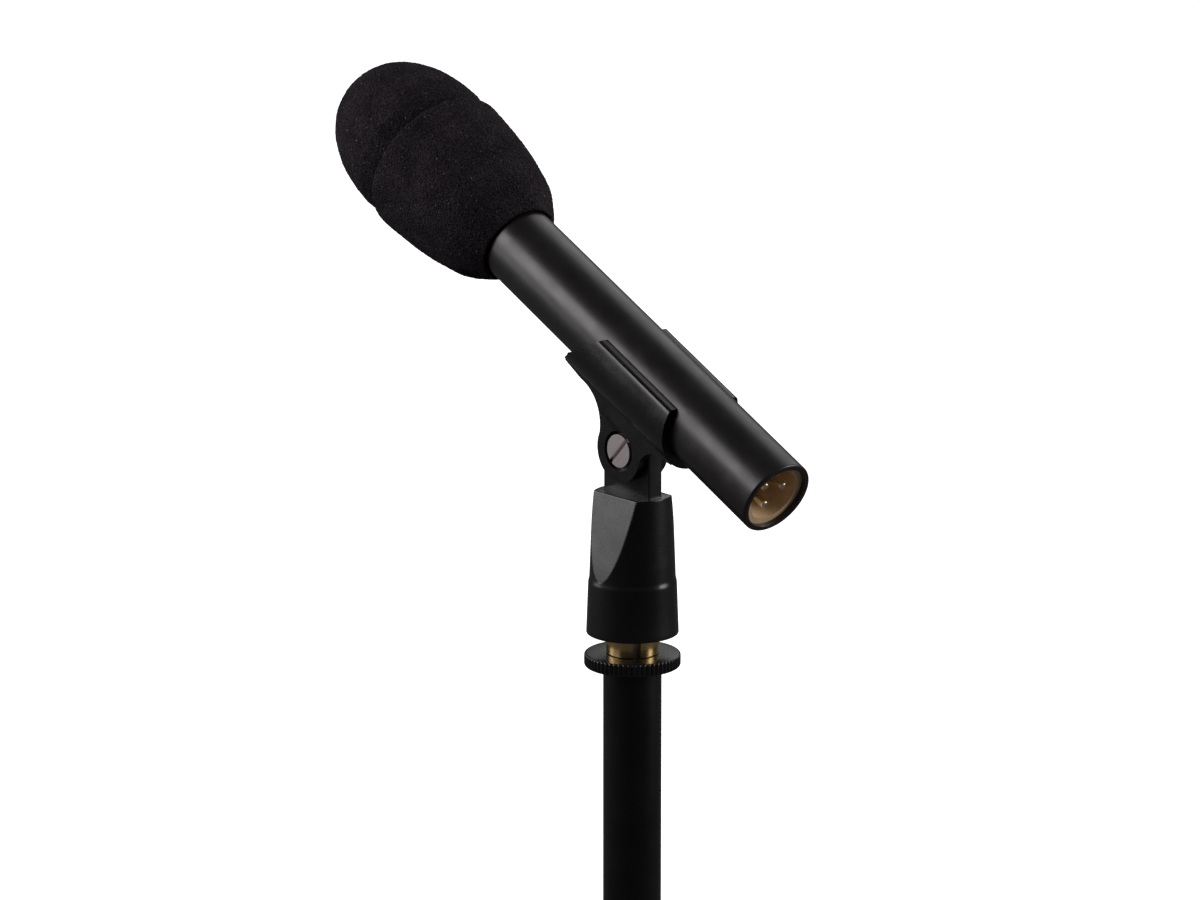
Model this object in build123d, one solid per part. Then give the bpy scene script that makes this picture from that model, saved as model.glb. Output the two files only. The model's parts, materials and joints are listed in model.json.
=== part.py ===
from build123d import *
import os
from math import cos, pi, radians, sin, sqrt

# ---------------------------------------------------------------------------
# Dynamic microphone in its stand clip, on the end of a short stand rod.
# Millimetres, +Z up along the rod.  The origin is the mouth of the threaded
# socket in the rod's foot.  The microphone points towards -X and upwards.
# ---------------------------------------------------------------------------

# Named clearances
RUN = 0.04            # radial gap of a threaded or turning fit
SLIP = 0.08           # radial gap of a sliding fit
FACE = 0.05           # gap between flat faces that move past each other
SEAT = 0.03           # gap round a piece that is pressed or glued in
SOFT = 0.30           # gap round a soft piece

# Stand rod
ROD_LENGTH = 96.0
ROD_R = 8.9
ROD_WALL = 1.2
STUD_R = 4.7625       # 3/8 inch thread
STUD_LENGTH = 18.0
STUD_PLUG_LENGTH = 16.0
SOCKET_DEPTH = 16.0
FOOT_LENGTH = 20.0
END_CHAMFER = 0.5

# Locking ring
RING_R = 14.7
RING_THICKNESS = 3.95
RING_TEETH = 60
RING_TOOTH_DEPTH = 0.5
RING_CHAMFER = 0.5

# Thread adapter: 3/8 inch inside, 5/8 inch outside
ADAPTER_R = 7.9375
ADAPTER_LENGTH = 15.9
ADAPTER_SHOWN = 6.4   # how much stands clear between ring and clip
ADAPTER_SLOT_WIDTH = 2.4
ADAPTER_SLOT_DEPTH = 7.5
ADAPTER_SLOT_TURN = -31.3

# Swivel base of the clip
SKIRT_FOOT_R = 14.05
SKIRT_TOP_R = 13.45
SKIRT_HEIGHT = 16.0
LEDGE_HEIGHT = 1.5
CONE_FOOT_R = 13.1
CONE_TOP_R = 12.1
BASE_HEIGHT = 43.5
FACET_TOP_Y = 7.0
THREAD_DEPTH = 15.5
TONGUE_HALF_WIDTH = 10.35
TONGUE_HALF_THICK = 2.6
PIVOT_RISE = 13.73    # pivot above the base's top face

# Clip cradle
MIC_TILT = 26.3       # the head's rise above level, degrees
CRADLE_DROP = 10.61   # cradle's underside above the pivot, square to the microphone
CRADLE_WALL = 2.62
ARM_RISE = 6.2        # arm tops above the microphone axis
ARM_BEVEL = 0.7       # bevel along the outer edge of each arm's top
CRADLE_HEAD_REACH = 20.35  # at the axis, from the pivot's foot
CRADLE_TAIL_REACH = 21.2
HEAD_CUT_SLOPE = 0.83
TAIL_CUT_SLOPE = 0.21
EAR_R = 9.6
EAR_HALF_WIDTH = 5.8
WEB_DROP = 9.7        # underside of the web above the pivot
WEB_HEAD_REACH = 24.0 # where the web's underside turns down, towards the head
WEB_HEAD_BEND = (7.0, 14.4)    # middle of that bend: rise and reach
WEB_TAIL_REACH = 16.8 # the same towards the tail
WEB_TAIL_BEND = (6.2, 10.56)
RIB_SLOT_REACH = 18.0

# Pivot screw and nut
SCREW_R = 2.5
SCREW_HEAD_R = 5.05
SCREW_HEAD_THICK = 1.85
SCREW_RECESS_R = 6.2
SCREW_SLOT_WIDTH = 1.2
SCREW_SLOT_DEPTH = 1.1
SCREW_SLOT_TURN = 47.0
NUT_FLATS = 8.0
NUT_THICK = 2.4

# Microphone body
BODY_R = 12.0
BODY_WALL = 1.2
BODY_LENGTH = 153.4
TAIL_OVERHANG = 58.73  # tail face behind the pivot's foot
TAIL_OPENING_R = 10.2
TAIL_LIP = 1.6
TAIL_CHAMFER = 0.6

# Three-pin connector
SHELL_BORE_R = 8.35
SHELL_END = 24.0
PIN_R = 1.2
PIN_CIRCLE_R = 4.4
PIN_COUNT = 3
PIN_TURN = 70.0       # first pin, from the top of the body
PIN_RECESS = 2.6
PIN_TAIL_R = 0.9
PIN_TAIL_END = 23.0
FLOOR_DEPTH = 13.6
INSULATOR_END = 20.0
LATCH_WIDTH = 5.0
LATCH_DEPTH = 0.6
LATCH_LENGTH = 3.6
GRUB_R = 1.0
GRUB_AT = 9.0
LUG_WIDTH = 2.4
LUG_THICK = 0.5

# Transformer and wiring
CARRIER_START = 66.0
CARRIER_DISC = 2.0
CARRIER_SPAN = 16.0
CARRIER_BED = 6.2     # bed of the carrier below the axis
CORE_SIZE = (9.0, 13.0, 12.0)
CORE_LIMB = 2.4
LEAD_R = 0.6

# Grille and capsule
GRILLE_WALL = 1.0
GRILLE_LENGTH = 39.2   # past the body tube
GRILLE_CAP = 1.2
GRILLE_COLLAR = 8.0
GRILLE_COLLAR_LIP = 1.2
GRILLE_SLOTS = 12
GRILLE_SLOT_WIDTH = 3.2
GRILLE_SLOT_REACH = (6.0, 33.0)    # slots past the body tube
GRILLE_HOLE_R = 0.9
MESH_WALL = 0.4
POP_DISC = 2.6
CAPSULE_REACH = 16.0   # past the body tube
CAPSULE_LENGTH = 17.5
CAPSULE_R = 9.6
CAPSULE_WALL = 1.0
SHOCK_WIDTH = 2.5
SHOCK_GAP = 1.0       # each shock ring from its end of the capsule
FELT = 0.7
YOKE_INSET = 1.0       # yoke inside the capsule's bore
YOKE_HEIGHT = 7.0
YOKE_FLOOR = 1.5
YOKE_WALL = 1.2
MAGNET_INSET = 0.3     # magnet inside the pole plate
MAGNET_HEIGHT = 4.0
POLE_GAP = 1.5         # pole plate to the yoke's wall
COIL_INSET = 1.05      # coil inside the yoke's wall
COIL_WALL = 0.5
COIL_DIP = 2.3        # coil below the yoke's rim at rest
COIL_RISE = 2.1       # diaphragm above the yoke's rim at rest
DIAPHRAGM_INSET = 0.7  # diaphragm inside the capsule's bore
DIAPHRAGM_THICK = 0.25
DOME_RISE = 1.2
CHASSIS_HEIGHT = 1.5
RESONATOR_THICK = 1.5
RESONATOR_GAP = 1.9
CLAMP_THICK = 1.8

# Foam windscreen
FOAM_OVERLAP = 23.2     # foam behind the end of the body tube
FOAM_REACH = 61.0       # foam past the body tube
FOAM_LIP = 1.2          # bevel round the mouth
# Radius, and distance ahead of the mouth, of points on the shoulder.
FOAM_SHOULDER = ((16.3, 4.4), (19.3, 9.6), (21.0, 15.7), (22.5, 22.6), (23.5, 30.5), (24.1, 37.4))
FOAM_REAR_R = 24.5
FOAM_FRONT_R = 23.8
FOAM_GROOVE_REACH = 22.4
FOAM_GROOVE_R = 22.4
FOAM_GROOVE_LIP = (0.3, 0.9)    # rear edge of the groove, inward and back
FOAM_REAR_END = 2.0     # the shoulder's end behind the groove
FOAM_NOSE_REACH = 25.6
FOAM_NOSE_POWER = 2.26
FOAM_NOSE_STEPS = 8

# ---------------------------------------------------------------------------
# Places worked out from the sizes
# ---------------------------------------------------------------------------
RING_BASE = ROD_LENGTH + FACE
ADAPTER_BASE = RING_BASE + RING_THICKNESS + FACE
BASE_FOOT = ADAPTER_BASE + ADAPTER_SHOWN
BASE_TOP = BASE_FOOT + BASE_HEIGHT
PIVOT_Z = BASE_TOP + PIVOT_RISE
TONGUE_SLOT = TONGUE_HALF_THICK + 2 * FACE
TUBE_BORE_R = BODY_R - BODY_WALL
CRADLE_BORE_R = BODY_R + SLIP
CRADLE_R = CRADLE_BORE_R + CRADLE_WALL
MIC_AXIS_RISE = CRADLE_R + CRADLE_DROP
GRILLE_END = BODY_LENGTH + GRILLE_LENGTH
GRILLE_SLOT_START, GRILLE_SLOT_END = (BODY_LENGTH + reach for reach in GRILLE_SLOT_REACH)
CAPSULE_START = BODY_LENGTH + CAPSULE_REACH
YOKE_R = CAPSULE_R - CAPSULE_WALL - YOKE_INSET
GAP_OUTER_R = YOKE_R - YOKE_WALL
POLE_R = GAP_OUTER_R - POLE_GAP
MAGNET_R = POLE_R - MAGNET_INSET
COIL_R = GAP_OUTER_R - COIL_INSET
DIAPHRAGM_R = CAPSULE_R - CAPSULE_WALL - DIAPHRAGM_INSET
FOAM_START = BODY_LENGTH - FOAM_OVERLAP
FOAM_END = BODY_LENGTH + FOAM_REACH
FOAM_GROOVE = BODY_LENGTH + FOAM_GROOVE_REACH
FOAM_NOSE_START = BODY_LENGTH + FOAM_NOSE_REACH
YOKE_BASE = CAPSULE_START + CAPSULE_WALL + FELT + 2 * SEAT
YOKE_RIM = YOKE_BASE + YOKE_HEIGHT
MESH_R = BODY_R - GRILLE_WALL - SEAT

tilt = radians(MIC_TILT)
head_way = Vector(-cos(tilt), 0, sin(tilt))
up_way = Vector(sin(tilt), 0, cos(tilt))
pivot = Vector(0, 0, PIVOT_Z)
tail = pivot - head_way * TAIL_OVERHANG + up_way * MIC_AXIS_RISE
# In the microphone's own frame Z runs from the tail to the head and X is up.
MIC = Plane(origin=tail, x_dir=up_way, z_dir=head_way).location
# In the clip's own frame Z runs towards the head, X is up and the pivot is Y.
CLIP = Plane(origin=pivot, x_dir=up_way, z_dir=head_way).location


# ---------------------------------------------------------------------------
# Small helpers
# ---------------------------------------------------------------------------
def rod(radius, start, end):
    """Round bar on Z from start to end."""
    bar = Cylinder(radius, end - start, align=(Align.CENTER, Align.CENTER, Align.MIN))
    return Pos(0, 0, start) * bar


def tube(outer, inner, start, end):
    """Round tube on Z from start to end."""
    return rod(outer, start, end) - rod(inner, start - 1, end + 1)


def turned(*corners):
    """Solid turned about Z from (radius, height) corners."""
    outline = Polyline(*[(r, 0, z) for r, z in corners], close=True)
    return revolve(make_face(outline), Axis.Z)


def block(x_range, y_range, z_range):
    """Box between the low and high value along each axis."""
    sizes = [high - low for low, high in (x_range, y_range, z_range)]
    centre = [(high + low) / 2 for low, high in (x_range, y_range, z_range)]
    return Pos(*centre) * Box(*sizes)


def cross_bar(radius, start, end):
    """Round bar on Y from start to end."""
    return Rot(90, 0, 0) * rod(radius, -end, -start)


def ring_places(count, radius, first=0.0):
    """Places evenly spaced on a circle about Z, as (x, y)."""
    angles = [radians(first + 360 * i / count) for i in range(count)]
    return [(radius * cos(a), radius * sin(a)) for a in angles]


# ---------------------------------------------------------------------------
# Stand rod, locking ring and thread adapter
# ---------------------------------------------------------------------------
def rod_tube():
    return turned(
        (ROD_R - ROD_WALL, 0), (ROD_R - END_CHAMFER, 0), (ROD_R, END_CHAMFER),
        (ROD_R, ROD_LENGTH - END_CHAMFER), (ROD_R - END_CHAMFER, ROD_LENGTH),
        (ROD_R - ROD_WALL, ROD_LENGTH))


def rod_foot_socket():
    body = rod(ROD_R - ROD_WALL - SEAT, 0, FOOT_LENGTH)
    return body - rod(STUD_R + RUN, -1, SOCKET_DEPTH)


def rod_top_stud():
    plug = rod(ROD_R - ROD_WALL - SEAT, ROD_LENGTH - STUD_PLUG_LENGTH, ROD_LENGTH)
    top = ROD_LENGTH + STUD_LENGTH
    stud = turned(
        (0, ROD_LENGTH), (STUD_R, ROD_LENGTH), (STUD_R, top - END_CHAMFER),
        (STUD_R - END_CHAMFER, top), (0, top))
    return plug + stud


def locking_ring():
    corners = []
    for i in range(2 * RING_TEETH):
        angle = pi * i / RING_TEETH
        radius = RING_R - RING_TOOTH_DEPTH * (i % 2)
        corners.append((radius * cos(angle), radius * sin(angle)))
    toothed = extrude(make_face(Polyline(*corners, close=True)), RING_THICKNESS)
    inner_r = RING_R - RING_TOOTH_DEPTH - RING_CHAMFER / 2
    rounded = turned(
        (0, 0), (inner_r, 0), (RING_R, RING_CHAMFER),
        (RING_R, RING_THICKNESS - RING_CHAMFER), (inner_r, RING_THICKNESS),
        (0, RING_THICKNESS))
    ring = (toothed & rounded) - rod(STUD_R + RUN, -1, RING_THICKNESS + 1)
    return Pos(0, 0, RING_BASE) * ring


def thread_adapter():
    body = tube(ADAPTER_R, STUD_R + RUN, 0, ADAPTER_LENGTH)
    slot = block((-2 * ADAPTER_R, 2 * ADAPTER_R),
                 (-ADAPTER_SLOT_WIDTH / 2, ADAPTER_SLOT_WIDTH / 2),
                 (-1, ADAPTER_SLOT_DEPTH))
    return Pos(0, 0, ADAPTER_BASE) * (body - Rot(0, 0, ADAPTER_SLOT_TURN) * slot)


# ---------------------------------------------------------------------------
# Stand clip: swivel base, cradle, pivot screw and nut
# ---------------------------------------------------------------------------
def swivel_base():
    ledge = SKIRT_HEIGHT + LEDGE_HEIGHT
    body = turned(
        (0, 0), (SKIRT_FOOT_R - END_CHAMFER, 0), (SKIRT_FOOT_R, END_CHAMFER),
        (SKIRT_TOP_R, SKIRT_HEIGHT), (CONE_FOOT_R, ledge), (CONE_TOP_R, BASE_HEIGHT),
        (0, BASE_HEIGHT))
    lean = (CONE_FOOT_R - FACET_TOP_Y) / (BASE_HEIGHT - ledge)
    for side in (-1, 1):
        cut = Polyline(
            (0, side * CONE_FOOT_R, ledge),
            (0, side * (FACET_TOP_Y - lean), BASE_HEIGHT + 1),
            (0, side * 2 * CONE_FOOT_R, BASE_HEIGHT + 1),
            (0, side * 2 * CONE_FOOT_R, ledge), close=True)
        body -= extrude(make_face(cut), 2 * SKIRT_FOOT_R, dir=(1, 0, 0), both=True)
    rise = BASE_HEIGHT + PIVOT_RISE
    body += block((-TONGUE_HALF_WIDTH, TONGUE_HALF_WIDTH),
                  (-TONGUE_HALF_THICK, TONGUE_HALF_THICK), (BASE_HEIGHT - 1, rise))
    body += Pos(0, 0, rise) * cross_bar(TONGUE_HALF_WIDTH, -TONGUE_HALF_THICK,
                                        TONGUE_HALF_THICK)
    body -= Pos(0, 0, rise) * cross_bar(SCREW_R + SLIP, -EAR_HALF_WIDTH, EAR_HALF_WIDTH)
    body -= rod(ADAPTER_R + RUN, -1, THREAD_DEPTH)
    return Pos(0, 0, BASE_FOOT) * body


def cradle_outline():
    """Side view of the shell between its two slanted ends, in the clip's frame."""
    def corner(rise, slope, reach):
        """Point of an end cut, rise above the microphone axis."""
        return (MIC_AXIS_RISE + rise, 0, reach + slope * rise)

    low = -CRADLE_R - 1
    return make_face(Polyline(
        corner(low, -HEAD_CUT_SLOPE, CRADLE_HEAD_REACH),
        corner(ARM_RISE, -HEAD_CUT_SLOPE, CRADLE_HEAD_REACH),
        corner(ARM_RISE, TAIL_CUT_SLOPE, -CRADLE_TAIL_REACH),
        corner(low, TAIL_CUT_SLOPE, -CRADLE_TAIL_REACH), close=True))


def web_outline():
    """Side view of the web that joins the ears to the shell, in the clip's frame."""
    top = MIC_AXIS_RISE - BODY_R
    shell_foot = MIC_AXIS_RISE - CRADLE_R
    head_tip = CRADLE_HEAD_REACH + HEAD_CUT_SLOPE * CRADLE_R
    tail_tip = CRADLE_TAIL_REACH
    head_arc = ThreePointArc((WEB_DROP, 0, WEB_HEAD_REACH),
                             (WEB_HEAD_BEND[0], 0, WEB_HEAD_BEND[1]), (0, 0, EAR_R))
    tail_arc = ThreePointArc((0, 0, -EAR_R), (WEB_TAIL_BEND[0], 0, -WEB_TAIL_BEND[1]),
                             (WEB_DROP, 0, -WEB_TAIL_REACH))
    return make_face(Curve() + [
        Line((shell_foot, 0, head_tip), (WEB_DROP, 0, WEB_HEAD_REACH)), head_arc,
        Line((0, 0, EAR_R), (0, 0, -EAR_R)), tail_arc,
        Line((WEB_DROP, 0, -WEB_TAIL_REACH), (shell_foot, 0, -tail_tip)),
        Line((shell_foot, 0, -tail_tip), (top, 0, -tail_tip)),
        Line((top, 0, -tail_tip), (top, 0, head_tip)),
        Line((top, 0, head_tip), (shell_foot, 0, head_tip))])


def nut_prism(flats, start, end):
    """Hexagonal bar on Y."""
    hexagon = RegularPolygon(flats / 2, 6, major_radius=False)
    return Rot(90, 0, 0) * Pos(0, 0, -end) * extrude(hexagon, end - start)


def clip_cradle():
    reach = 2 * CRADLE_HEAD_REACH
    shell = Pos(MIC_AXIS_RISE, 0, 0) * rod(CRADLE_R, -reach, reach)
    shell &= extrude(cradle_outline(), CRADLE_R + 1, dir=(0, 1, 0), both=True)
    arm_y = sqrt(CRADLE_R ** 2 - ARM_RISE ** 2)
    half = ARM_BEVEL / sqrt(2)
    edge_bar = block((-half, half), (-half, half), (-reach, reach))
    for side in (-1, 1):
        shell -= Pos(MIC_AXIS_RISE + ARM_RISE, side * arm_y, 0) * Rot(0, 0, 45) * edge_bar
    web = extrude(web_outline(), EAR_HALF_WIDTH, dir=(0, 1, 0), both=True)
    body = shell + web + cross_bar(EAR_R, -EAR_HALF_WIDTH, EAR_HALF_WIDTH)
    body -= Pos(MIC_AXIS_RISE, 0, 0) * rod(CRADLE_BORE_R, -reach, reach)
    slot_top = MIC_AXIS_RISE - CRADLE_R
    body -= block((-2 * EAR_R, slot_top), (-TONGUE_SLOT, TONGUE_SLOT),
                  (-RIB_SLOT_REACH, RIB_SLOT_REACH))
    recess_floor = -EAR_HALF_WIDTH + SCREW_HEAD_THICK + FACE
    body -= cross_bar(SCREW_R + SLIP, -2 * EAR_HALF_WIDTH, 2 * EAR_HALF_WIDTH)
    body -= cross_bar(SCREW_RECESS_R, -2 * EAR_HALF_WIDTH, recess_floor)
    body -= nut_prism(NUT_FLATS + 2 * SLIP, EAR_HALF_WIDTH - NUT_THICK - 2 * FACE,
                      2 * EAR_HALF_WIDTH)
    return CLIP * body


def pivot_screw():
    head_back = -EAR_HALF_WIDTH + SCREW_HEAD_THICK
    body = cross_bar(SCREW_HEAD_R, -EAR_HALF_WIDTH, head_back)
    body += cross_bar(SCREW_R, head_back - FACE, EAR_HALF_WIDTH - FACE)
    slot = block((-2 * SCREW_HEAD_R, 2 * SCREW_HEAD_R),
                 (-2 * EAR_HALF_WIDTH, -EAR_HALF_WIDTH + SCREW_SLOT_DEPTH),
                 (-SCREW_SLOT_WIDTH / 2, SCREW_SLOT_WIDTH / 2))
    return Pos(pivot) * (body - Rot(0, -SCREW_SLOT_TURN, 0) * slot)


def pivot_nut():
    start = EAR_HALF_WIDTH - NUT_THICK - FACE
    nut = nut_prism(NUT_FLATS, start, EAR_HALF_WIDTH - FACE)
    return CLIP * (nut - cross_bar(SCREW_R + RUN, start - 1, EAR_HALF_WIDTH + 1))


# ---------------------------------------------------------------------------
# Microphone body and connector
# ---------------------------------------------------------------------------
def body_tube():
    body = turned(
        (TAIL_OPENING_R, 0), (BODY_R - TAIL_CHAMFER, 0), (BODY_R, TAIL_CHAMFER),
        (BODY_R, BODY_LENGTH), (TUBE_BORE_R, BODY_LENGTH), (TUBE_BORE_R, TAIL_LIP),
        (TAIL_OPENING_R, TAIL_LIP))
    return MIC * (body - Pos(0, 0, GRUB_AT) * cross_bar(GRUB_R + RUN, 0, 2 * BODY_R))


def connector_shell():
    start = TAIL_LIP + SEAT
    body = tube(TUBE_BORE_R - SEAT, SHELL_BORE_R, start, SHELL_END)
    notch = block((SHELL_BORE_R - 1, SHELL_BORE_R + LATCH_DEPTH),
                  (-LATCH_WIDTH / 2, LATCH_WIDTH / 2), (start - 1, start + LATCH_LENGTH))
    body -= Rot(0, 0, PIN_TURN - 60) * notch
    body -= Pos(0, 0, GRUB_AT) * cross_bar(GRUB_R + RUN, SHELL_BORE_R + 1, 2 * BODY_R)
    return MIC * body


def connector_grub_screw():
    start = SHELL_BORE_R + 1 + FACE
    return MIC * Pos(0, 0, GRUB_AT) * cross_bar(GRUB_R, start, BODY_R - 5 * FACE)


def xlr_insulator():
    body = rod(SHELL_BORE_R - SEAT, FLOOR_DEPTH, INSULATOR_END)
    for x, y in ring_places(PIN_COUNT, PIN_CIRCLE_R, PIN_TURN):
        body -= Pos(x, y, 0) * rod(PIN_R + RUN, FLOOR_DEPTH - 1, INSULATOR_END + 1)
    return MIC * body


def xlr_pins():
    pin = turned(
        (0, PIN_RECESS), (PIN_R / 2, PIN_RECESS), (PIN_R, PIN_RECESS + PIN_R / 2),
        (PIN_R, INSULATOR_END), (PIN_TAIL_R, INSULATOR_END), (PIN_TAIL_R, PIN_TAIL_END),
        (0, PIN_TAIL_END))
    places = ring_places(PIN_COUNT, PIN_CIRCLE_R, PIN_TURN)
    return Compound([MIC * Pos(x, y, 0) * pin for x, y in places])


def ground_lug():
    start = INSULATOR_END + SEAT
    tab = block((PIN_CIRCLE_R + PIN_TAIL_R + FACE, SHELL_BORE_R), (-LUG_WIDTH / 2, LUG_WIDTH / 2),
                (start, start + LUG_THICK))
    tab &= rod(SHELL_BORE_R - SEAT, start, start + LUG_THICK)
    return MIC * Rot(0, 0, PIN_TURN) * tab


# ---------------------------------------------------------------------------
# Transformer and wiring inside the body
# ---------------------------------------------------------------------------
CARRIER_END = CARRIER_START + 2 * CARRIER_DISC + CARRIER_SPAN
CORE_WIDTH, CORE_DEPTH, CORE_HEIGHT = CORE_SIZE
CORE_START = CARRIER_START + CARRIER_DISC + (CARRIER_SPAN - CORE_HEIGHT) / 2
CORE_WINDOW = (CORE_DEPTH - 4 * CORE_LIMB) / 2
WINDING_HALF = CORE_LIMB + CORE_WINDOW - SEAT


def transformer_carrier():
    """Plastic tray between two discs, with a hollow in its bed for the winding."""
    radius = TUBE_BORE_R - SEAT
    body = rod(radius, CARRIER_START, CARRIER_END)
    body -= block((-CARRIER_BED, 2 * radius), (-2 * radius, 2 * radius),
                  (CARRIER_START + CARRIER_DISC, CARRIER_END - CARRIER_DISC))
    body -= block((-CARRIER_BED - CORE_WINDOW - 2 * SEAT, 0),
                  (-WINDING_HALF - SEAT, WINDING_HALF + SEAT),
                  (CORE_START + CORE_LIMB, CORE_START + CORE_HEIGHT - CORE_LIMB))
    return MIC * body


def transformer_core():
    """Laminated core with two windows beside its middle limb."""
    body = block((0, CORE_WIDTH), (-CORE_DEPTH / 2, CORE_DEPTH / 2), (0, CORE_HEIGHT))
    for side in (-1, 1):
        middle = side * (CORE_LIMB + CORE_WINDOW / 2)
        body -= block((-1, CORE_WIDTH + 1),
                      (middle - CORE_WINDOW / 2, middle + CORE_WINDOW / 2),
                      (CORE_LIMB, CORE_HEIGHT - CORE_LIMB))
    return MIC * Pos(SEAT - CARRIER_BED, 0, CORE_START) * body


def transformer_winding():
    """Coil round the core's middle limb."""
    low, high = CORE_LIMB + SEAT, CORE_HEIGHT - CORE_LIMB - SEAT
    body = block((-CORE_WINDOW, CORE_WIDTH + CORE_WINDOW), (-WINDING_HALF, WINDING_HALF),
                 (low, high))
    body -= block((-SEAT, CORE_WIDTH + SEAT), (-CORE_LIMB - SEAT, CORE_LIMB + SEAT),
                  (low - 1, high + 1))
    return MIC * Pos(SEAT - CARRIER_BED, 0, CORE_START) * body


def connector_leads():
    places = ring_places(PIN_COUNT, PIN_CIRCLE_R, PIN_TURN)[1:]
    lead = rod(LEAD_R, PIN_TAIL_END + SEAT, CARRIER_START - SEAT)
    return Compound([MIC * Pos(x, y, 0) * lead for x, y in places])


def capsule_leads():
    lead = rod(LEAD_R, CARRIER_END + SEAT, CAPSULE_START - SEAT)
    return Compound([MIC * Pos(0, y, 0) * lead for y in (-PIN_CIRCLE_R, PIN_CIRCLE_R)])


# ---------------------------------------------------------------------------
# Grille and capsule
# ---------------------------------------------------------------------------
def grille_frame():
    start = BODY_LENGTH + SEAT
    inner = BODY_R - GRILLE_WALL
    body = turned(
        (inner - GRILLE_COLLAR_LIP, start - GRILLE_COLLAR), (TUBE_BORE_R - SEAT, start - GRILLE_COLLAR),
        (TUBE_BORE_R - SEAT, start), (BODY_R, start), (BODY_R, GRILLE_END - GRILLE_WALL),
        (BODY_R - GRILLE_WALL, GRILLE_END), (0, GRILLE_END), (0, GRILLE_END - GRILLE_CAP),
        (inner, GRILLE_END - GRILLE_CAP), (inner, start + GRILLE_WALL),
        (inner - GRILLE_COLLAR_LIP, start + GRILLE_WALL))
    slot = block((inner - 2, 2 * BODY_R), (-GRILLE_SLOT_WIDTH / 2, GRILLE_SLOT_WIDTH / 2),
                 (GRILLE_SLOT_START, GRILLE_SLOT_END))
    for i in range(GRILLE_SLOTS):
        body -= Rot(0, 0, 360 * i / GRILLE_SLOTS) * slot
    hole = rod(GRILLE_HOLE_R, GRILLE_END - 2 * GRILLE_CAP, GRILLE_END + 1)
    body -= hole
    for ring in (1, 2, 3):
        for x, y in ring_places(6 * ring, 3 * GRILLE_HOLE_R * ring):
            body -= Pos(x, y, 0) * hole
    return MIC * body


def grille_mesh():
    start = BODY_LENGTH + GRILLE_WALL + 2 * SEAT
    end = GRILLE_END - GRILLE_CAP - SEAT
    can = rod(MESH_R, start, end) - rod(MESH_R - MESH_WALL, start - 1, end - MESH_WALL)
    return MIC * can


def pop_disc():
    end = GRILLE_END - GRILLE_CAP - MESH_WALL - 2 * SEAT
    return MIC * rod(MESH_R - MESH_WALL - SOFT, end - POP_DISC, end)


def shock_ring(start):
    """Rubber ring between the capsule and the mesh."""
    return MIC * tube(MESH_R - MESH_WALL - SEAT, CAPSULE_R + SEAT, start, start + SHOCK_WIDTH)


def capsule_housing():
    end = CAPSULE_START + CAPSULE_LENGTH
    bore = CAPSULE_R - CAPSULE_WALL
    body = rod(CAPSULE_R, CAPSULE_START, end) - rod(bore, CAPSULE_START + CAPSULE_WALL, end + 1)
    for x, y in ring_places(6, CAPSULE_R / 2, 30):
        body -= Pos(x, y, 0) * rod(GRILLE_HOLE_R, CAPSULE_START - 1, CAPSULE_START + 2)
    return MIC * body


def felt_damper():
    start = CAPSULE_START + CAPSULE_WALL + SEAT
    return MIC * rod(CAPSULE_R - CAPSULE_WALL - SEAT, start, start + FELT)


def yoke_cup():
    body = rod(YOKE_R, YOKE_BASE, YOKE_RIM)
    return MIC * (body - rod(GAP_OUTER_R, YOKE_BASE + YOKE_FLOOR, YOKE_RIM + 1))


def magnet():
    start = YOKE_BASE + YOKE_FLOOR
    return MIC * rod(MAGNET_R, start, start + MAGNET_HEIGHT)


def pole_plate():
    start = YOKE_BASE + YOKE_FLOOR + MAGNET_HEIGHT
    return MIC * rod(POLE_R, start, YOKE_RIM)


def chassis_ring():
    """Plastic ring on the yoke's rim that carries the diaphragm's edge."""
    start = YOKE_RIM + SEAT
    outer = CAPSULE_R - CAPSULE_WALL - SEAT
    return MIC * tube(outer, GAP_OUTER_R, start, start + CHASSIS_HEIGHT)


def voice_coil():
    start, end = YOKE_RIM - COIL_DIP, YOKE_RIM + COIL_RISE
    return MIC * tube(COIL_R + COIL_WALL, COIL_R, start, end)


def diaphragm():
    """Thin disc with a domed middle, on the end of the voice coil."""
    start = YOKE_RIM + COIL_RISE
    radius = (COIL_R ** 2 + DOME_RISE ** 2) / (2 * DOME_RISE)
    cap = Pos(0, 0, start + DOME_RISE - radius)
    dome = cap * (Sphere(radius + DIAPHRAGM_THICK) - Sphere(radius))
    dome &= rod(COIL_R, start, start + 2 * DOME_RISE)
    rim = tube(DIAPHRAGM_R, COIL_R, start, start + DIAPHRAGM_THICK)
    return MIC * (rim + dome)


def resonator_plate():
    start = YOKE_RIM + COIL_RISE + RESONATOR_GAP
    body = rod(CAPSULE_R - CAPSULE_WALL - SEAT, start, start + RESONATOR_THICK)
    for x, y in ring_places(6, CAPSULE_R / 2) + [(0, 0)]:
        body -= Pos(x, y, 0) * rod(GRILLE_HOLE_R, start - 1, start + RESONATOR_THICK + 1)
    return MIC * body


def clamp_ring():
    start = YOKE_RIM + COIL_RISE + RESONATOR_GAP + RESONATOR_THICK + SEAT
    outer = CAPSULE_R - CAPSULE_WALL - SEAT
    return MIC * tube(outer, outer - 2 * CAPSULE_WALL, start, start + CLAMP_THICK)


# ---------------------------------------------------------------------------
# Foam windscreen
# ---------------------------------------------------------------------------
def nose_point(share):
    """Point of the nose: a superellipse, from the front lobe's side to its tip."""
    length = FOAM_END - FOAM_NOSE_START
    angle = share * pi / 2
    radius = FOAM_FRONT_R * cos(angle) ** (2 / FOAM_NOSE_POWER)
    return (radius, 0, FOAM_NOSE_START + length * sin(angle) ** (2 / FOAM_NOSE_POWER))


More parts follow.
